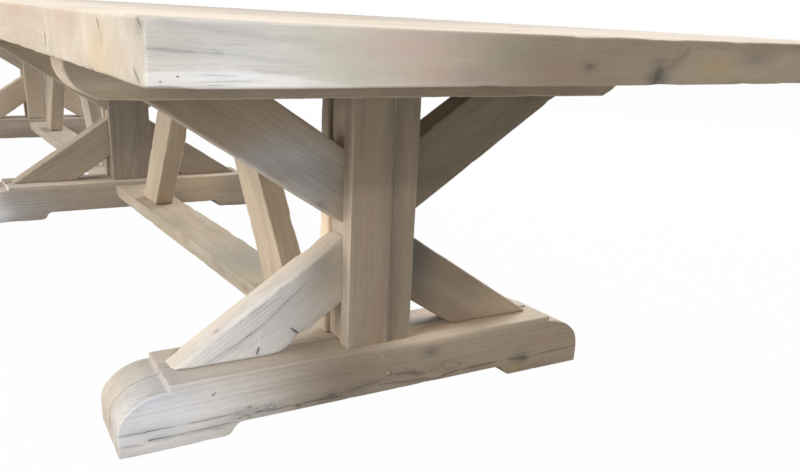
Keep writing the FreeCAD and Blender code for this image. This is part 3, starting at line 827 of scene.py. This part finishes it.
def makePegs(trestle, x):
    # whittled pegs through the foot, whose ends stand a little proud
    bm = bmesh.new()
    chance = random.Random(trestle)
    half = plankThick + pegPlan["proud"]
    rim, waist = pegPlan["rim"], pegPlan["waist"]
    for y, z in pegPlan["places"]:
        rings = []
        for along, shrink in ((-half, rim), (rim - half, 0), (-waist, 0), (waist, 0),
                              (half - rim, 0), (half, rim)):
            ring = []
            for i in range(pegPlan["sides"]):
                turn = 2 * math.pi * i / pegPlan["sides"]
                reach = pegPlan["radius"] - shrink - chance.uniform(0, pegPlan["rough"])
                corner = (x + along, y + reach * math.cos(turn), z + reach * math.sin(turn))
                ring.append(bm.verts.new(corner))
            rings.append(ring)
        closeSkin(bm, rings)
    mesh = meshFrom(bm, trestle + "_foot_pegs_worn")
    piece = addToScene(trestle + "_foot_pegs_worn", mesh)
    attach(piece, "root")
    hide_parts(trestle + "_foot_pegs")
    return piece


pegPieces = [makePegs(trestle, x) for trestle, x in trestleX.items()]
print("pegs made")


def newGroup(name, takes, gives):
    tree = bpy.data.node_groups.new(name, "ShaderNodeTree")
    for label, kind, value in takes:
        socket = tree.interface.new_socket(label, in_out="INPUT", socket_type="NodeSocket" + kind)
        socket.default_value = value
    for label in gives:
        tree.interface.new_socket(label, in_out="OUTPUT", socket_type="NodeSocketFloat")
    entry = tree.nodes.new("NodeGroupInput")
    leave = tree.nodes.new("NodeGroupOutput")
    return tree, entry.outputs, leave.inputs


def newMaterial(name):
    material = bpy.data.materials.new(name)
    material.use_nodes = True
    tree = material.node_tree
    return material, tree, tree.nodes["Principled BSDF"].inputs


def addBump(tree, takes, height, strength, distance):
    bump = tree.nodes.new("ShaderNodeBump")
    feed(tree, bump.inputs["Strength"], strength)
    feed(tree, bump.inputs["Distance"], distance)
    feed(tree, bump.inputs["Height"], height)
    feed(tree, takes["Normal"], bump.outputs[0])


def inTable(tree):
    # the place in the table's own X, Y and Z
    return tree.nodes.new("ShaderNodeTexCoord").outputs["Object"]


nowhere = ("Place", "Vector", (0, 0, 0))


def makeGrowthRings():
    # rings round the pith, which lies along the first axis of Place
    tree, take, give = newGroup("growthRings", [
        nowhere, ("Spacing", "Float", 0.008), ("Waver", "Float", 1.0), ("Sharpness", "Float", 2.2)],
        ["Rings", "Bands"])
    wander = noiseAt(tree, take["Place"], (0.8, 3.0, 3.0), 2, 0.5, output="Color")
    wander = calcVector(tree, "SUBTRACT", wander, (0.5, 0.5, 0.5))
    sway = scaled(tree, wander, times(tree, take["Waver"], 0.11))
    moved = calcVector(tree, "ADD", take["Place"], sway)
    reach = calcVector(tree, "LENGTH", calcVector(tree, "MULTIPLY", moved, (0, 1, 1)))
    phase = calc(tree, "DIVIDE", reach, take["Spacing"])
    jitter = noiseAt(tree, take["Place"], (2.4, 16, 16), 3, 0.55)
    phase = timesAdd(tree, jitter, 1.6, phase)
    wave = timesAdd(tree, calc(tree, "SINE", times(tree, phase, math.tau)), 0.5, 0.5)
    late = calc(tree, "POWER", wave, take["Sharpness"])
    # some years are dark and some hardly show
    years = noiseAt(tree, times(tree, phase, 0.21), (1, 1, 1), 1)
    late = times(tree, late, between(tree, years, 0.25, 0.7))
    feed(tree, give["Rings"], late)
    feed(tree, give["Bands"], noiseAt(tree, times(tree, phase, 0.34), (1, 1, 1), 2))
    return tree


def makeFibre():
    tree, take, give = newGroup("fibre", [nowhere], ["Streaks", "Pores"])
    wide = noiseAt(tree, take["Place"], (5, 170, 170), 3, 0.6)
    fine = noiseAt(tree, take["Place"], (14, 620, 620), 2, 0.6)
    both = timesAdd(tree, wide, 0.6, times(tree, fine, 0.4))
    feed(tree, give["Streaks"], between(tree, both, 0.32, 0.68))
    dash = noiseAt(tree, take["Place"], (32, 900, 900), 1)
    where = noiseAt(tree, take["Place"], (3, 60, 60), 2)
    dash = between(tree, timesAdd(tree, where, 0.35, dash), 0.76, 0.88)
    feed(tree, give["Pores"], dash)
    return tree


def makeDryCracks():
    tree, take, give = newGroup("dryCracks", [nowhere, ("Amount", "Float", 0.5)], ["Cracks"])
    field = noiseAt(tree, take["Place"], (1.7, 34, 34), 2, 0.5, 0.2)
    line = calc(tree, "ABSOLUTE", calc(tree, "SUBTRACT", field, 0.5))
    where = noiseAt(tree, take["Place"], (1.3, 9, 9), 2, 0.5)
    limit = calc(tree, "SUBTRACT", 0.78, times(tree, take["Amount"], 0.3))
    gate = between(tree, where, limit, calc(tree, "ADD", limit, 0.09))
    width = timesAdd(tree, gate, 0.01, 0.0005)
    line = opposite(tree, between(tree, line, 0.0, width))
    feed(tree, give["Cracks"], times(tree, line, gate))
    return tree


# output, shift, stretch, detail, roughness, distortion, and where it starts and is full
weatherAreas = [
    ("Bleach", (0, 0, 0), (2.0, 15, 15), 4, 0.6, 0.0, 0.34, 0.68),
    ("Grime", (0, 0, 0), (4.5, 26, 26), 5, 0.65, 0.4, 0.56, 0.8),
    ("Rose", (7.3, 2.1, 4.4), (3.5, 18, 18), 3, 0.5, 0.0, 0.48, 0.72),
    ("Olive", (1.9, 8.8, 3.2), (3.5, 18, 18), 3, 0.5, 0.0, 0.48, 0.72),
]


def makeWeathering():
    # broad bleached and dirty areas, rosy and olive tints, and a fine mottle
    labels = [area[0] for area in weatherAreas] + ["Mottle"]
    tree, take, give = newGroup("weathering", [nowhere], labels)
    for label, shift, stretch, detail, rough, bend, low, high in weatherAreas:
        moved = calcVector(tree, "ADD", take["Place"], shift)
        field = noiseAt(tree, moved, stretch, detail, rough, bend)
        feed(tree, give[label], between(tree, field, low, high))
    feed(tree, give["Mottle"], noiseAt(tree, take["Place"], (30, 60, 60), 5, 0.7))
    return tree


def makeWornEdge():
    tree, take, give = newGroup("wornEdge", [
        nowhere, ("Gap", "Float", 1.0), ("Width", "Float", 0.005)], ["Worn"])
    ragged = noiseAt(tree, take["Place"], (40, 70, 70), 3, 0.6)
    width = times(tree, take["Width"], timesAdd(tree, ragged, 2.4, -0.3))
    feed(tree, give["Worn"], opposite(tree, between(tree, take["Gap"], 0.0, width)))
    return tree


def makeSpot():
    # a knot, stain or scuff: Size is its reach along X, Y and Z
    tree, take, give = newGroup("spot", [
        nowhere, ("Centre", "Vector", (0, 0, 0)), ("Size", "Vector", (0.01, 0.01, 0.01))],
        ["Core", "Halo"])
    gap = calcVector(tree, "SUBTRACT", take["Place"], take["Centre"])
    gap = calcVector(tree, "LENGTH", calcVector(tree, "DIVIDE", gap, take["Size"]))
    ragged = noiseAt(tree, take["Place"], (90, 90, 90), 4, 0.6)
    reach = timesAdd(tree, ragged, 0.9, calc(tree, "SUBTRACT", gap, 0.45))
    feed(tree, give["Core"], opposite(tree, between(tree, reach, 0.35, 1.0)))
    feed(tree, give["Halo"], opposite(tree, between(tree, reach, 0.5, 2.6)))
    return tree


def makeLine():
    # a split, scratch or streak from Start to Finish, widest in its middle
    tree, take, give = newGroup("line", [
        nowhere, ("Start", "Vector", (0, 0, 0)), ("Finish", "Vector", (0, 0, 0)),
        ("Width", "Float", 0.001), ("Waver", "Float", 0.003), ("Crisp", "Float", 0.3)], ["Core", "Halo"])
    sway = noiseAt(tree, take["Place"], (28, 28, 28), 4, 0.6, output="Color")
    sway = calcVector(tree, "SUBTRACT", sway, (0.5, 0.5, 0.5))
    sway = scaled(tree, sway, times(tree, take["Waver"], 2.0))
    here = calcVector(tree, "ADD", take["Place"], sway)
    run = calcVector(tree, "SUBTRACT", take["Finish"], take["Start"])
    way = calcVector(tree, "SUBTRACT", here, take["Start"])
    share = calc(tree, "DIVIDE", calcVector(tree, "DOT_PRODUCT", way, run),
                 calcVector(tree, "DOT_PRODUCT", run, run), clamp=True)
    gap = calcVector(tree, "DISTANCE", way, scaled(tree, run, share))
    ends = times(tree, times(tree, share, opposite(tree, share)), 4.0)
    width = times(tree, take["Width"], timesAdd(tree, ends, 0.8, 0.2))
    crisp = times(tree, width, take["Crisp"])
    feed(tree, give["Core"], opposite(tree, between(tree, gap, crisp, width)))
    feed(tree, give["Halo"], opposite(tree, between(tree, gap, 0.0, times(tree, width, 7.0))))
    return tree


woodGroups = {
    "rings": makeGrowthRings(), "fibre": makeFibre(), "cracks": makeDryCracks(),
    "weathering": makeWeathering(), "edge": makeWornEdge(), "spot": makeSpot(), "line": makeLine(),
}


def lay(tree, name, **feeds):
    # one of the wood groups, with its own values
    node = tree.nodes.new("ShaderNodeGroup")
    node.node_tree = woodGroups[name]
    for label, value in feeds.items():
        feed(tree, node.inputs[label], value)
    return node.outputs


def fieldOf(tree, name, output):
    node = tree.nodes.new("ShaderNodeAttribute")
    node.attribute_name = name
    return node.outputs[output]


# linear colours, depths from 0 to 1 and sizes in metres
bareWood = {
    "pale": (0.7, 0.63, 0.54), "middle": (0.56, 0.475, 0.385), "dark": (0.27, 0.215, 0.165),
    "rose": (0.6, 0.455, 0.37), "olive": (0.5, 0.465, 0.35), "tints": 0.3,
    # this dark colour is dirt on most pieces, and painted shade along the near post's seam
    "grime": (0.19, 0.165, 0.14), "grimeDepth": 0.22, "edge": (0.74, 0.67, 0.58), "edgeDepth": 0.5,
    "edgeWidth": 0.005, "crack": (0.055, 0.045, 0.037), "cracks": 0.4,
    "yellow": (0.72, 0.58, 0.34), "slate": (0.16, 0.17, 0.165), "rust": (0.33, 0.19, 0.13),
    "chalk": (0.9, 0.88, 0.86),
    "spacing": 0.0095, "waver": 1.0, "sharpness": 1.8, "ringDepth": 0.3,
    "streakDepth": 0.16, "poreDepth": 0.2, "roughness": 0.74, "bump": 0.0012, "marks": [],
}


def addMark(tree, where, colour, opened, finish, mark):
    # spots, lines and crisp bands in the table's own places, in one of the finish's colours
    kind, first, second, *sizes, tint, core, halo = mark
    if kind in ("spot", "torn"):
        shape = lay(tree, "spot", Place=where, Centre=first, Size=second)
    else:
        shape = lay(tree, "line", Place=where, Start=first, Finish=second, Width=sizes[0], Waver=sizes[1],
                    Crisp=0.8 if kind == "band" else 0.3)
    if halo:
        colour = blend(tree, times(tree, shape["Halo"], halo), colour, finish[tint])
    if core:
        share = times(tree, shape["Core"], core)
        if kind == "torn":
            # short strokes of torn grain instead of one even spot
            strokes = between(tree, noiseAt(tree, where, (40, 42, 600), 2.0), 0.5, 0.62)
            share = times(tree, share, strokes)
        colour = blend(tree, share, colour, finish[tint])
        if tint == "crack":
            opened = calc(tree, "MAXIMUM", opened, share)
    return colour, opened


def toned(tree, colour, light, warm):
    # the board's own tone: lighter or darker, warmer or cooler
    lit = scaled(tree, colour, calc(tree, "ADD", light, 1.0))
    grey = tree.nodes.new("ShaderNodeRGBToBW")
    feed(tree, grey.inputs[0], lit)
    cool = blend(tree, 1.0, grey.outputs[0], (0.985, 1.0, 1.035), "MULTIPLY")
    colour = blend(tree, times(tree, warm, -1.0, clamp=True), lit, cool)
    tan = blend(tree, 1.0, colour, (1.05, 0.97, 0.84), "MULTIPLY")
    return blend(tree, times(tree, warm, 1.0, clamp=True), colour, tan)


def coat(tree, colour, finish, layers):
    # each layer is a mask, its depth and one of the finish's colours
    for mask, depth, tint in layers:
        colour = blend(tree, times(tree, mask, depth, clamp=True), colour, finish[tint])
    return colour


def makeTimberFinish(name, finish):
    finish = dict(bareWood, **finish)
    material, tree, takes = newMaterial(name)
    grain = fieldOf(tree, "grainPlace", "Vector")
    where = inTable(tree)
    tone = tree.nodes.new("ShaderNodeSeparateXYZ")
    feed(tree, tone.inputs[0], fieldOf(tree, "boardTone", "Vector"))
    light, warm, strength = tone.outputs

    rings = lay(tree, "rings", Place=grain, Spacing=finish["spacing"], Waver=finish["waver"],
                Sharpness=finish["sharpness"])
    fibre = lay(tree, "fibre", Place=grain)
    cracks = lay(tree, "cracks", Place=grain, Amount=finish["cracks"])
    weather = lay(tree, "weathering", Place=grain)
    worn = lay(tree, "edge", Place=where, Gap=fieldOf(tree, "edgeGap", "Fac"), Width=finish["edgeWidth"])

    bleach = timesAdd(tree, rings["Bands"], 0.5, times(tree, weather["Bleach"], 0.62))
    colour = blend(tree, calc(tree, "ADD", bleach, -0.12, clamp=True), finish["middle"], finish["pale"])
    ringDepth = times(tree, strength, finish["ringDepth"] * 2)
    colour = coat(tree, colour, finish, [
        (weather["Rose"], finish["tints"], "rose"), (weather["Olive"], finish["tints"], "olive"),
        (rings["Rings"], ringDepth, "dark"),
        (opposite(tree, fibre["Streaks"]), finish["streakDepth"], "dark"),
        (fibre["Pores"], finish["poreDepth"], "dark"), (weather["Grime"], finish["grimeDepth"], "grime"),
    ])
    mottle = timesAdd(tree, weather["Mottle"], 0.2, 0.9)
    colour = blend(tree, 1.0, colour, mottle, "MULTIPLY")
    opened = cracks["Cracks"]
    colour = coat(tree, colour, finish, [(worn["Worn"], finish["edgeDepth"], "edge"), (opened, 0.8, "crack")])
    for mark in finish["marks"]:
        colour, opened = addMark(tree, where, colour, opened, finish, mark)
    feed(tree, takes["Base Color"], toned(tree, colour, light, warm))

    rough = timesAdd(tree, fibre["Streaks"], -0.08, finish["roughness"] + 0.06)
    rough = timesAdd(tree, worn["Worn"], -0.1, rough)
    feed(tree, takes["Roughness"], timesAdd(tree, opened, 0.2, rough, clamp=True))
    height = timesAdd(tree, fibre["Streaks"], 0.22, times(tree, rings["Rings"], 0.25))
    height = calc(tree, "SUBTRACT", height, times(tree, fibre["Pores"], 0.2))
    height = calc(tree, "SUBTRACT", height, times(tree, opened, 1.4))
    addBump(tree, takes, height, 0.5, finish["bump"])
    return material


def onFace(axis, level, marks):
    # a mark given by the face's own two axes is set on the face, and a spot reaches 20 mm through it
    full = []
    for kind, first, second, *rest in marks:
        if len(first) == 2:
            depth = 0.02 if kind in ("spot", "torn") else level
            first = (*first[:axis], level, *first[axis:])
            second = (*second[:axis], depth, *second[axis:])
        full.append((kind, first, second, *rest))
    return full


# A mark is a kind, a place, and a spot's size or a line's other end, width and waver, then its colour
# and the depths of its core and halo.
timberFinishes = {
    "trestleTimber": {},
    "topTimber": {
        "pale": (0.79, 0.72, 0.64), "middle": (0.67, 0.6, 0.515), "ringDepth": 0.2, "edgeDepth": 0.2,
        "marks": [("spot", (-1.93, sideY, 0.748), (0.12, 0.02, 0.012), "rose", 0.35, 0.3)],
    },
    "railTimber": {"olive": (0.47, 0.46, 0.36), "tints": 0.5},
    "strutTimber": {"pale": (0.74, 0.68, 0.56), "streakDepth": 0.2},
    "nearBoardTimber": {
        "pale": (0.74, 0.68, 0.6), "middle": (0.62, 0.545, 0.46), "ringDepth": 0.14, "spacing": 0.013,
        "cracks": 0.15, "streakDepth": 0.08, "edgeDepth": 0.15, "tints": 0.4,
        "marks": onFace(0, endX, [
            # soft streaks that fall to the right, and the pale band below them with its fine checks
            ("line", (0.62, 0.757), (0.436, 0.738), 0.0055, 0.003, "slate", 0.16, 0.16),
            ("line", (0.504, 0.747), (0.38, 0.734), 0.003, 0.003, "grime", 0.12, 0.14),
            ("line", (0.64, 0.734), (0.56, 0.7312), 0.0022, 0.002, "slate", 0.42, 0.2),
            ("line", (0.57, 0.731), (0.47, 0.722), 0.0035, 0.003, "slate", 0.14, 0.14),
            ("band", (0.68, 0.7085), (0.37, 0.69), 0.0165, 0.002, "chalk", 0.4, 0.0),
            ("line", (0.596, 0.7139), (0.542, 0.7112), 0.0007, 0.001, "crack", 0.4, 0.08),
            ("line", (0.581, 0.7066), (0.516, 0.7076), 0.0007, 0.001, "crack", 0.4, 0.08),
            ("line", (0.612, 0.7034), (0.55, 0.7033), 0.0007, 0.001, "crack", 0.5, 0.1),
            ("spot", (endX, 0.602, 0.711), (0.01, 0.0014, 0.001), "crack", 0.7, 0.1),
            ("spot", (endX, 0.617, 0.7067), (0.01, 0.0012, 0.0012), "crack", 0.7, 0.1),
            ("spot", (0.4076, 0.7313), (0.005, 0.0025), "grime", 0.4, 0.22),
            # olive, rosy and yellow mottles, the strong ones first
            ("spot", (0.4472, 0.7396), (0.03, 0.02), "olive", 0.6, 0.45),
            ("spot", (0.423, 0.718), (0.035, 0.012), "olive", 0.6, 0.45),
            ("spot", (0.3869, 0.742), (0.04, 0.012), "rose", 0.6, 0.45),
            ("spot", (0.3387, 0.716), (0.04, 0.012), "rose", 0.6, 0.45),
            ("spot", (0.23, 0.73), (0.04, 0.016), "olive", 0.5, 0.4),
            ("spot", (0.17, 0.72), (0.05, 0.01), "rose", 0.5, 0.4),
            ("spot", (-0.1, 0.725), (0.03, 0.01), "yellow", 0.22, 0.22),
            ("spot", (0.455, 0.745), (0.03, 0.02), "olive", 0.2, 0.2),
            ("spot", (0.39, 0.718), (0.035, 0.012), "olive", 0.2, 0.2),
            ("spot", (0.33, 0.738), (0.05, 0.014), "rose", 0.25, 0.25),
            ("spot", (0.23, 0.73), (0.04, 0.016), "olive", 0.2, 0.2),
            ("spot", (-0.1, 0.725), (0.03, 0.01), "yellow", 0.25, 0.25),
            # knots, and the stain that runs down from one of them
            ("spot", (0.1195, 0.7237), (0.01, 0.005), "slate", 0.45, 0.22),
            ("spot", (0.0035, 0.717), (0.012, 0.011), "slate", 0.6, 0.45),
            ("line", (0.005, 0.717), (0.01, 0.699), 0.007, 0.002, "slate", 0.55, 0.3),
            ("line", (-0.012, 0.722), (-0.046, 0.7465), 0.003, 0.002, "rust", 0.25, 0.25),
            ("spot", (-0.177, 0.738), (0.024, 0.008), "slate", 0.15, 0.22),
        ]) + onFace(1, sideY, [
            # heart, splits and rosy and yellow streaks
            ("line", (-2.439, 0.7545), (-2.4482, 0.743), 0.003, 0.001, "crack", 0.85, 0.0),
            ("line", (-2.444, 0.75), (-2.456, 0.73), 0.005, 0.002, "rust", 0.3, 0.15),
            ("spot", (-2.4343, 0.718), (0.05, 0.022), "yellow", 0.3, 0.2),
            ("line", (-2.58, 0.763), (-2.599, 0.747), 0.0022, 0.001, "crack", 0.55, 0.2),
            ("line", (-2.5657, 0.7153), (-2.5853, 0.7034), 0.002, 0.001, "crack", 0.55, 0.2),
            ("line", (-2.374, 0.755), (-2.386, 0.715), 0.01, 0.004, "chalk", 0.12, 0.1),
            ("spot", (-2.26, 0.75), (0.06, 0.01), "rose", 0.4, 0.35),
        ]),
    },
    "nearFootTimber": {
        "spacing": 0.011, "streakDepth": 0.09, "cracks": 0.1, "edgeDepth": 0.15,
        "marks": onFace(0, footX, [
            # the seam between the two planks has gathered dirt
            ("spot", (-1.89, 0.5, 0.08), (0.0018, 3.0, 3.0), "grime", 0.38, 0.2),
            # two long splits and fainter ones near the back end
            ("line", (0.55, 0.0458), (0.434, 0.0452), 0.0013, 0.002, "crack", 0.7, 0.2),
            ("line", (0.438, 0.0452), (0.312, 0.0442), 0.0012, 0.002, "crack", 0.65, 0.2),
            ("line", (0.319, 0.0445), (0.275, 0.0475), 0.0011, 0.002, "crack", 0.6, 0.15),
            ("line", (0.492, 0.0272), (0.44, 0.0262), 0.0016, 0.002, "crack", 0.75, 0.25),
            ("line", (0.45, 0.0262), (0.318, 0.0284), 0.0013, 0.002, "crack", 0.65, 0.2),
            ("spot", (footX, 0.487, 0.0272), (0.01, 0.006, 0.002), "crack", 0.8, 0.2),
            ("line", (0.545, 0.0254), (0.5, 0.02), 0.001, 0.002, "crack", 0.3, 0.12),
            ("line", (0.38, 0.025), (0.345, 0.019), 0.0016, 0.003, "grime", 0.4, 0.15),
            # torn grain round a ringed knot, and the rough line that runs on from it
            ("torn", (0.292, 0.04), (0.055, 0.02), "crack", 0.75, 0.0),
            ("spot", (0.3, 0.04), (0.036, 0.009), "grime", 0.14, 0.12),
            ("spot", (0.2505, 0.043), (0.014, 0.006), "grime", 0.6, 0.2),
            ("spot", (0.2505, 0.043), (0.009, 0.0035), "middle", 0.85, 0.0),
            ("line", (0.275, 0.0372), (0.19, 0.0372), 0.0014, 0.003, "crack", 0.6, 0.2),
            ("line", (0.2, 0.0372), (0.085, 0.0358), 0.0016, 0.003, "crack", 0.55, 0.3),
            ("spot", (footX, 0.1935, 0.034), (0.01, 0.009, 0.0035), "grime", 0.75, 0.3),
            ("spot", (footX, 0.1194, 0.0422), (0.01, 0.012, 0.006), "slate", 0.55, 0.3),
            ("line", (0.37, 0.09), (0.362, 0.0975), 0.0018, 0.001, "crack", 0.85, 0.1),
            # dark rough lines under the pegs and on to the front, with the knot at their end
            ("line", (0.1004, 0.042), (0.002, 0.0528), 0.003, 0.003, "grime", 0.45, 0.25),
            ("line", (-0.02, 0.06), (-0.0887, 0.056), 0.0022, 0.003, "crack", 0.5, 0.25),
            ("line", (-0.0677, 0.054), (-0.1107, 0.0486), 0.002, 0.003, "crack", 0.5, 0.25),
            ("line", (0.01, 0.044), (-0.147, 0.03), 0.0014, 0.003, "crack", 0.45, 0.25),
            ("line", (-0.14, 0.03), (-0.195, 0.04), 0.002, 0.003, "crack", 0.6, 0.25),
            ("line", (-0.19, 0.0395), (-0.3024, 0.0394), 0.0014, 0.003, "crack", 0.6, 0.3),
            ("torn", (-0.17, 0.056), (0.06, 0.018), "crack", 0.45, 0.0),
            ("spot", (footX, -0.1182, 0.096), (0.01, 0.018, 0.008), "slate", 0.35, 0.3),
            ("spot", (footX, -0.1234, 0.0521), (0.01, 0.006, 0.003), "rust", 0.45, 0.2),
            ("spot", (footX, -0.3785, 0.0362), (0.01, 0.013, 0.008), "slate", 0.8, 0.3),
            ("line", (-0.395, 0.0345), (-0.335, 0.0392), 0.006, 0.002, "slate", 0.55, 0.25),
            ("line", (-0.37, 0.04), (-0.56, 0.0452), 0.0026, 0.001, "pale", 0.75, 0.0),
            ("line", (-0.39, 0.0365), (-0.56, 0.0418), 0.0012, 0.001, "crack", 0.5, 0.15),
            ("spot", (-0.36, 0.012), (0.02, 0.01), "yellow", 0.3, 0.25),
            # the gap round the lower peg
            ("spot", (footX, -0.0145, 0.065), (0.01, 0.0082, 0.0084), "crack", 0.75, 0.12),
        ]),
    },
    "nearBraceTimber": {
        "pale": (0.82, 0.78, 0.73), "middle": (0.68, 0.62, 0.54), "spacing": 0.0065, "waver": 0.5,
        "sharpness": 5.5, "ringDepth": 0.3, "streakDepth": 0.14, "cracks": 0.3, "edgeDepth": 0.25,
        "marks": onFace(0, braceX, [
            # long thin checks that draw together towards the post
            ("line", (0.372, 0.159), (0.222, 0.2475), 0.0012, 0.002, "slate", 0.75, 0.2),
            ("line", (0.236, 0.24), (0.15, 0.299), 0.0013, 0.002, "slate", 0.75, 0.2),
            ("line", (0.366, 0.128), (0.248, 0.19), 0.0012, 0.002, "crack", 0.55, 0.15),
            ("line", (0.256, 0.185), (0.13, 0.285), 0.0012, 0.002, "crack", 0.45, 0.15),
            ("line", (0.306, 0.157), (0.236, 0.198), 0.0013, 0.002, "crack", 0.55, 0.15),
            ("line", (0.34, 0.133), (0.262, 0.174), 0.001, 0.002, "crack", 0.4, 0.12),
            ("line", (0.292, 0.21), (0.184, 0.275), 0.001, 0.002, "slate", 0.55, 0.12),
            ("line", (0.32, 0.183), (0.2, 0.25), 0.0009, 0.002, "slate", 0.45, 0.1),
            ("line", (0.186, 0.18), (0.156, 0.154), 0.0036, 0.001, "crack", 0.85, 0.1),
            ("line", (0.2585, 0.133), (0.252, 0.15), 0.003, 0.001, "crack", 0.9, 0.1),
            ("line", (0.252, 0.15), (0.252, 0.185), 0.0018, 0.001, "chalk", 0.35, 0.1),
            ("spot", (-1.9, 0.331, 0.19), (0.006, 0.009, 0.02), "rust", 0.55, 0.15),
            ("spot", (0.118, 0.3), (0.03, 0.03), "slate", 0.12, 0.18),
        ]),
    },
    "nearUpperTimber": {
        "streakDepth": 0.3,
        "marks": onFace(0, braceX, [
            ("line", (0.13, 0.424), (0.108, 0.412), 0.0035, 0.001, "crack", 0.7, 0.2),
        ]),
    },
    "nearPostTimber": {
        "ringDepth": 0.18, "streakDepth": 0.15, "tints": 0.5,
        "marks": onFace(0, postX, [
            # painted shade along the seam between the two boards
            ("line", (-0.03, 0.08), (-0.0105, 0.68), 0.006, 0.001, "grime", 0.25, 0.4),
            ("line", (0.055, 0.5), (0.052, 0.8), 0.004, 0.002, "grime", 0.15, 0.15),
        ]),
    },
    "nearBearerTimber": {
        "marks": [
            ("spot", (-1.96, 0.577, 0.67), (0.01, 0.012, 0.009), "edge", 0.5, 0.2),
            ("spot", (-1.966, 0.577, 0.668), (0.006, 0.006, 0.004), "grime", 0.5, 0.2),
        ],
    },
    "nearRailTimber": {
        "pale": (0.72, 0.66, 0.55), "middle": (0.57, 0.5, 0.385), "olive": (0.46, 0.45, 0.34), "tints": 0.6,
        "marks": onFace(1, railPlan["width"] / 2, [
            ("spot", (-0.914, 0.1), (0.03, 0.008), "rust", 0.3, 0.3),
            ("spot", (-1.176, 0.101), (0.024, 0.008), "rust", 0.35, 0.3),
            ("spot", (-1.23, 0.093), (0.018, 0.007), "rust", 0.35, 0.35),
            ("spot", (-1.398, 0.091), (0.02, 0.007), "rust", 0.3, 0.3),
        ]) + onFace(2, railPlan["upper"], [
            ("spot", (-1.23, 0.02), (0.12, 0.04), "olive", 0.3, 0.3),
            ("spot", (-1.26, 0.01), (0.07, 0.04), "olive", 0.35, 0.35),
            ("spot", (-1.54, 0.0), (0.05, 0.05), "slate", 0.15, 0.2),
        ]),
    },
}
timbers = {name: makeTimberFinish(name, finish) for name, finish in timberFinishes.items()}
for piece, finish in timberPieces:
    piece.data.materials.append(timbers[finish])


def makeEndGrain(name, pale, dark, roughness):
    # whittled pegs, and the splines inside the top: fine fibre along X and rings across it
    material, tree, takes = newMaterial(name)
    where = inTable(tree)
    fibre = lay(tree, "fibre", Place=where)
    rings = noiseAt(tree, where, (6, 420, 160), 3, 0.6)
    colour = blend(tree, between(tree, rings, 0.35, 0.7), pale, dark)
    colour = blend(tree, times(tree, fibre["Pores"], 0.4), colour, dark)
    feed(tree, takes["Base Color"], colour)
    rough = timesAdd(tree, fibre["Streaks"], -0.1, roughness)
    feed(tree, takes["Roughness"], rough)
    addBump(tree, takes, rings, 0.4, 0.0006)
    return material


def makeSteel(name, colour, roughness):
    # dull zinc-coated steel with faint spangle and handling marks
    material, tree, takes = newMaterial(name)
    where = inTable(tree)
    spangle = noiseAt(tree, where, (420, 420, 420), 3, 0.6)
    marks = between(tree, noiseAt(tree, where, (90, 90, 90), 4, 0.7), 0.45, 0.75)
    shade = timesAdd(tree, spangle, 0.3, 0.82)
    base = blend(tree, 1.0, colour, shade, "MULTIPLY")
    base = blend(tree, times(tree, marks, 0.3), base, (0.25, 0.23, 0.2))
    feed(tree, takes["Base Color"], base)
    feed(tree, takes["Metallic"], 1)
    feed(tree, takes["Roughness"], timesAdd(tree, marks, 0.25, roughness))
    return material


pegTimber = makeEndGrain("pegTimber", (0.8, 0.72, 0.6), (0.52, 0.43, 0.33), 0.72)
splineTimber = makeEndGrain("splineTimber", (0.66, 0.58, 0.46), (0.48, 0.39, 0.29), 0.75)
screwSteel = makeSteel("screwSteel", (0.55, 0.55, 0.56), 0.38)
for piece in pegPieces:
    piece.data.materials.append(pegTimber)
for node, material in (("top_splines", splineTimber), ("top_screws", screwSteel)):
    for slot in frame["nodes"][node].material_slots:
        slot.material = material
print("finishes made, faces:", sum(len(piece.data.polygons) for piece, finish in timberPieces))
